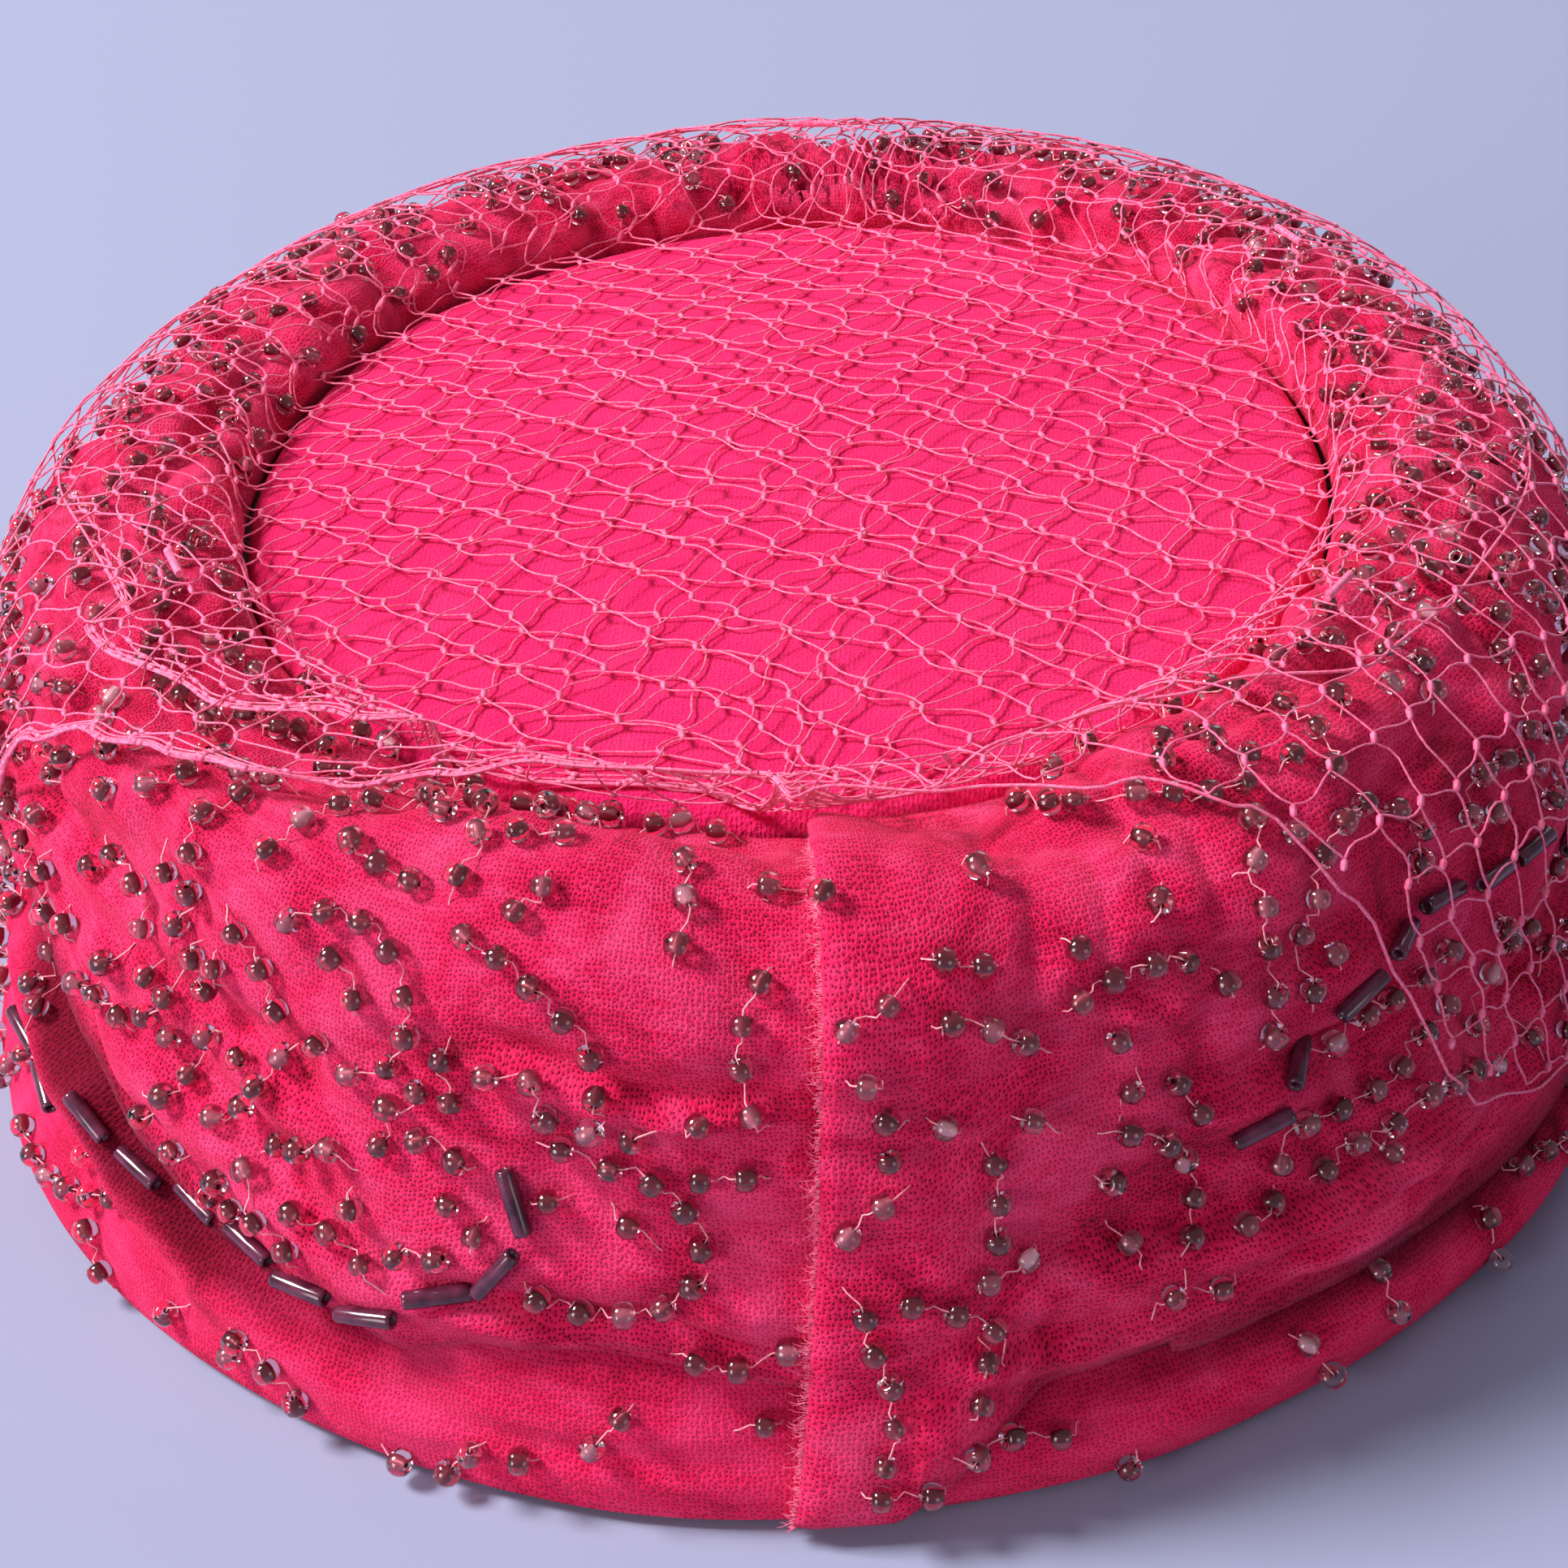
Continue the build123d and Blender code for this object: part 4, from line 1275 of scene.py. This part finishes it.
# (angle, distance beyond the crown's edge) of the cut edge of each layer
OUTER_EDGE = [(-152, 48), (-147, 36), (-141, 30), (-134, 27), (-128, 24), (-122, 19), (-116, 13),
              (-109, 8), (-98, 5), (-92, 6), (-86, 11), (-80, 10), (-69, 12.5), (-61, 19),
              (-55, 27), (-51, 39), (-48, 51), (-46, 61), (-43.5, 67), (-36, 72), (-27, 75),
              (-10, 70), (45, 64), (135, 62), (185, 62), (208, 46)]
INNER_EDGE = [(-152, 24), (-139, 19), (-128, 11), (-117, 2), (-100, -2), (-87, 4), (-74, 2),
              (-62, 6), (-50, 14), (-38, 22), (0, 27), (90, 26), (180, 27), (208, 20)]


def crown_reach(angle):
    """Distance from the middle to the crown's edge, in a direction."""
    turn = math.radians(angle)
    return math.hypot(CROWN_WIDE * math.cos(turn), CROWN_LONG * math.sin(turn)) - 1.5


def net_section(travel):
    """Distance out and height of the net beyond the crown's edge."""
    low = Vector((-ROLL_INNER - 2.0, CROWN_TOP - 2.0))
    knee = Vector((-ROLL_INNER - 0.2, ROLL_HEIGHT + 2.2))
    high = Vector((-ROLL_CREST, ROLL_HEIGHT + NET_OVER_ROLL - NET_SUNK))
    if travel < BRIDGE:
        share = travel / BRIDGE
        point = low.lerp(knee, share).lerp(knee.lerp(high, share), share)
        return point.x, point.y
    bend = (travel - BRIDGE) / NET_ROUND
    if bend < math.pi / 2 - FLARE:
        return (-ROLL_CREST + NET_ROUND * math.sin(bend),
                SHOULDER_Z + (NET_ROUND - NET_SUNK) * math.cos(bend))
    fall = travel - BRIDGE - NET_SHOULDER
    return (-ROLL_CREST + NET_ROUND * math.cos(FLARE) + fall * math.sin(FLARE),
            SHOULDER_Z + NET_ROUND * math.sin(FLARE) - fall * math.cos(FLARE))


def net_point(angle, reach, lift):
    """A place on the veil over the hat."""
    turn = math.radians(angle)
    rim = crown_reach(angle)
    if reach < rim:
        point = Vector((math.cos(turn), math.sin(turn), 0)) * reach
        point.z = crown_height(point) + lift
        return point
    travel = reach - rim
    out, height = net_section(travel)
    settle = lift * (1 - 0.5 * ease(travel, 0, BRIDGE))
    wave = 0.8 * ripple(angle, travel, 17, 14, 12) * ease(travel, 8, 20)
    ease_in = ease(travel, 0, 5)
    bridge = head_point(angle, out + wave + settle * 0.6, height + settle)
    bridge.z += 0.85 * lip(angle, travel - BRIDGE) * ease(travel, 4, BRIDGE)
    if ease_in < 1:
        edge = Vector((math.cos(turn), math.sin(turn), 0)) * (rim + travel)
        edge.z = max(crown_height(edge), CROWN_FLOOR) + lift
        bridge = edge.lerp(bridge, ease_in)
    return bridge


print("crown reach", [round(crown_reach(angle), 1) for angle in (0, 90)])

# %% Knot the net
NET_CELL = 8.7              # width and height of a diamond
KNOT_LENGTH = 1.2
NET_STEPS = 5               # straight steps in one side of a diamond
NET_UNEVEN = 2.4            # the most that a knot is out of place
NET_REACH = 150.0           # from the middle: past the edge of every layer
KNOT_THICK, KNOT_ENDS, SELVEDGE_THICK = 2.6, 1.3, 1.3
BUNCHED = 34.0              # flat net gathered together at the back
BUNCH_WIDTH = 10.0          # of the gathered lines on the hat
TIE = -86                   # angle at which the net is tied down beside the lap


class Veil:
    """One layer: its lattice turn and shift, its edge and its height off the velvet."""

    def __init__(self, turn, shift, edge, lift, seed, gathered_to):
        self.turn, self.shift, self.edge = math.radians(turn), shift, edge
        self.lift, self.seed, self.gathered_to = lift, seed, gathered_to

    def flat_edge(self, angle):
        """Flat distance from the middle to the cut edge, more where it is gathered."""
        near = half_turn(angle)
        back = ease(near, -175, -150) * (1 - ease(near, -92, self.gathered_to))
        return crown_reach(angle) + follow(self.edge, angle) + BUNCHED * back

    def draw_in(self, distance, angle):
        """Reach on the hat of a flat distance: the last lines crowd at the edge."""
        end = crown_reach(angle) + follow(self.edge, angle)
        spare = self.flat_edge(angle) - end
        start = end - BUNCH_WIDTH
        if distance < start or spare < 0.5:
            return min(distance, end)
        beyond, share = distance - start, spare / BUNCHED
        even = beyond * BUNCH_WIDTH / (BUNCH_WIDTH + spare)
        crowded = BUNCH_WIDTH * (1 - math.exp(-beyond / BUNCH_WIDTH))
        return start + even * (1 - share) + crowded * share

    def carry(self, flat):
        """The place on the hat of a flat place; past the edge it gives None."""
        angle = math.degrees(math.atan2(flat.y, flat.x))
        distance = flat.length
        cut = self.flat_edge(angle)
        if distance > cut:
            return None
        reach = self.draw_in(distance, angle)
        rim = crown_reach(angle)
        drawn = ease(reach, rim - 26, rim + 8)
        tie = bump(angle, TIE, 15) * ease(reach, rim - 30, rim + 6) * 0.62
        pinch = bump(angle, FRONT, 17) * drawn * 0.6 * (1 - ease(reach, rim + 20, rim + 42))
        angle = angle - (angle - TIE) * tie - (angle - FRONT) * pinch
        wave = noise.noise(Vector((flat.x / 21, flat.y / 21, self.seed)))
        return net_point(angle, reach, self.lift * (1 + 0.7 * wave))

    def place(self, column, row):
        """The flat place of a knot, a little uneven."""
        x = (column + 0.5 * (row % 2)) * NET_CELL + self.shift
        y = row * NET_CELL / 2 + self.shift * 0.6
        spot = Vector((x, y, 0)) / 14
        x += NET_UNEVEN * noise.noise(spot + Vector((0, 0, self.seed + 5)))
        y += NET_UNEVEN * noise.noise(spot + Vector((0, 0, self.seed + 9)))
        cos, sin = math.cos(self.turn), math.sin(self.turn)
        return Vector((x * cos - y * sin, x * sin + y * cos, 0))


def thread_between(veil, start, end):
    """A net thread between two flat places, cut off at the veil's edge."""
    run = []
    across = (end - start).cross(Vector((0, 0, 1)))
    bow, sway = chance.uniform(-0.14, 0.14), chance.uniform(-0.07, 0.07)
    for step in range(NET_STEPS + 1):
        share = step / NET_STEPS
        bent = bow * math.sin(math.pi * share) + sway * math.sin(2 * math.pi * share)
        place = veil.carry(start.lerp(end, share) + across * bent)
        if place is None:
            break
        run.append((place, 1.0))
    return run if len(run) > 1 else None


def knot_net(veil):
    """All the threads and knots of one layer."""
    runs = []
    rows = int(NET_REACH / (NET_CELL / 2))
    columns = int(NET_REACH / NET_CELL)
    half = Vector((-math.sin(veil.turn), math.cos(veil.turn), 0)) * (KNOT_LENGTH / 2)
    for row in range(-rows, rows + 1):
        for column in range(-columns, columns + 1):
            knot = veil.place(column, row)
            if knot.length > NET_REACH:
                continue
            low, high = veil.carry(knot - half), veil.carry(knot + half)
            if low and high:
                runs.append([(low, KNOT_ENDS), (low.lerp(high, 0.2), KNOT_THICK),
                             (low.lerp(high, 0.8), KNOT_THICK), (high, KNOT_ENDS)])
            right = column + row % 2
            for beside in (right, right - 1):
                other = veil.place(beside, row + 1)
                run = thread_between(veil, knot + half, other - half)
                if run:
                    runs.append(run)
    return runs


def selvedge(veil):
    """The cord along the edge of a layer."""
    run = []
    for step in range(361):
        angle = math.radians(step)
        distance = veil.flat_edge(step) - 0.01
        place = veil.carry(Vector((math.cos(angle), math.sin(angle), 0)) * distance)
        run.append((place, SELVEDGE_THICK))
    return run


NET_RADIUS = 0.125
outer = Veil(turn=8, shift=1.0, edge=OUTER_EDGE, lift=1.1, seed=2, gathered_to=-70)
inner = Veil(turn=27, shift=2.6, edge=INNER_EDGE, lift=0.5, seed=7, gathered_to=-35)
for name, veil in (("veil_outer", outer), ("veil_inner", inner)):
    runs = knot_net(veil) + [selvedge(veil)]
    net = lay_threads(name, runs, NET_RADIUS, NET)
    area = sum(face.area for face in net.data.polygons) / 2
    print(name, "faces", len(net.data.polygons), "half surface", round(area * 1e6), "mm2")
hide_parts("veil")

# %% [markdown]
# ## The pieces inside
#
# The construction comes from the frame with its shapes as they are, and gets its real
# finishes: stiff open-weave buckram, covered wire, a ribbed ribbon, a satin lining and
# fluffy wadding.  The stitches that tie the veil down are of the net's own thread.

# %% Dress the inside
def woven(name, dark, light, pitch, roughness, sheen, depth):
    """Plain weave on object coordinates, pitch in threads to the millimetre."""
    material, nodes, links, shader = new_material(name)
    weave = nodes.new("ShaderNodeGroup")
    weave.node_tree = WEAVE
    set_values(weave, {"Warp": pitch * math.pi, "Weft": pitch * math.pi * 0.9})
    links.new(on_object(nodes, links), weave.inputs["Vector"])
    dress(links, shader, ramp(nodes, links, weave.outputs["Mask"], [(0.2, dark), (0.7, light)]),
          add_bump(nodes, links, weave.outputs["Height"], 0.6, depth),
          {"Roughness": roughness, "Sheen Weight": sheen})
    return material


def ribbed(name, dark, light, ribs, roughness):
    """Upright ribs round a ribbon, from the angle about the hat's axis."""
    material, nodes, links, shader = new_material(name)
    place = nodes.new("ShaderNodeTexCoord")
    split = nodes.new("ShaderNodeSeparateXYZ")
    links.new(place.outputs["Object"], split.inputs[0])
    angle = math_node(nodes, links, "ARCTAN2", split.outputs["Y"], split.outputs["X"])
    turns = math_node(nodes, links, "MULTIPLY", angle, ribs / 2)
    rib = math_node(nodes, links, "ABSOLUTE", math_node(nodes, links, "SINE", turns))
    dress(links, shader, ramp(nodes, links, rib, [(0.1, dark), (0.8, light)]),
          add_bump(nodes, links, rib, 0.7, 0.25), {"Roughness": roughness})
    return material


BUCKRAM = woven("buckram", (0.34, 0.29, 0.22), (0.80, 0.74, 0.62),
                pitch=0.8, roughness=0.8, sheen=0.0, depth=0.3)
COVERED_WIRE = woven("covered wire", (0.45, 0.42, 0.38), (0.86, 0.84, 0.80),
                     pitch=2.5, roughness=0.6, sheen=0.0, depth=0.1)
SATIN = woven("satin lining", (0.60, 0.06, 0.16), (0.85, 0.14, 0.27),
              pitch=4.0, roughness=0.35, sheen=0.4, depth=0.05)
RIBBON = ribbed("grosgrain", (0.42, 0.02, 0.09), (0.74, 0.07, 0.19), ribs=720, roughness=0.55)
INSIDE = {"side_wall": BUCKRAM, "crown_plate": BUCKRAM, "head_edge_wire": COVERED_WIRE,
          "crown_edge_wire": COVERED_WIRE, "lining_side": SATIN, "lining_tip": SATIN,
          "headband_ribbon": RIBBON, "crown_wadding": WADDING, "band_wadding": WADDING,
          "veil_tacks": NET}
for name, material in INSIDE.items():
    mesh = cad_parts[name].data
    mesh.materials.clear()
    mesh.materials.append(material)
print("dressed", len(INSIDE), "nodes")

# %% [markdown]
# ## Floor and light
#
# The hat is seen on a plain pale lavender ground, in soft light from the upper left.

# %% Set the scene
FLOOR_HALF = 6.0
FLOOR_BELOW = 0.0005        # under the rim, so that nothing lies in the floor's plane


def plain_material(name, colour, roughness):
    """A soft material for the floor, with a slight drift of tone."""
    material, nodes, links, shader = new_material(name)
    place = nodes.new("ShaderNodeTexCoord")
    tone = noise_node(nodes, links, place.outputs["Object"], 1.4, 2.0)
    shade = tuple(value * 0.93 for value in colour)
    links.new(ramp(nodes, links, tone, [(0.3, shade), (0.7, colour)]), shader.inputs["Base Color"])
    shader.inputs["Roughness"].default_value = roughness
    return material


def make_floor():
    """A wide floor just under the rim."""
    bm = bmesh.new()
    bmesh.ops.create_grid(bm, x_segments=8, y_segments=8, size=FLOOR_HALF)
    mesh = bpy.data.meshes.new("floor")
    bm.to_mesh(mesh)
    bm.free()
    mesh.materials.append(plain_material("pale floor", (0.302, 0.324, 0.482), 0.9))
    floor = bpy.data.objects.new("floor", mesh)
    floor.location.z = cad_box[0][2] - FLOOR_BELOW
    bpy.context.collection.objects.link(floor)
    return floor


def add_light(name, place, size, power, colour):
    """A square area light that faces the middle of the hat."""
    data = bpy.data.lights.new(name, "AREA")
    data.size = size
    data.energy = power
    data.color = colour
    lamp = bpy.data.objects.new(name, data)
    lamp.location = place
    aim = Vector((0, 0, 0.03)) - Vector(place)
    lamp.rotation_euler = aim.to_track_quat("-Z", "Y").to_euler()
    bpy.context.collection.objects.link(lamp)
    return lamp


make_floor()
add_light("key", (-1.55, 0.05, 1.65), 0.65, 84, (1.0, 0.98, 0.96))
add_light("front", (-1.3, -1.3, 0.55), 0.8, 14, (1.0, 0.97, 0.98))
add_light("far", (0.5, 1.6, 0.9), 0.9, 6, (0.95, 0.95, 1.0))
add_light("fill", (1.4, -1.3, 0.35), 0.8, 4, (1.0, 0.97, 0.98))
world = bpy.data.worlds.new("room")
bpy.context.scene.world = world
world.use_nodes = True
world.node_tree.nodes["Background"].inputs["Color"].default_value = (0.86, 0.87, 1.0, 1)
world.node_tree.nodes["Background"].inputs["Strength"].default_value = 0.27
bpy.context.scene.view_settings.view_transform = "Standard"
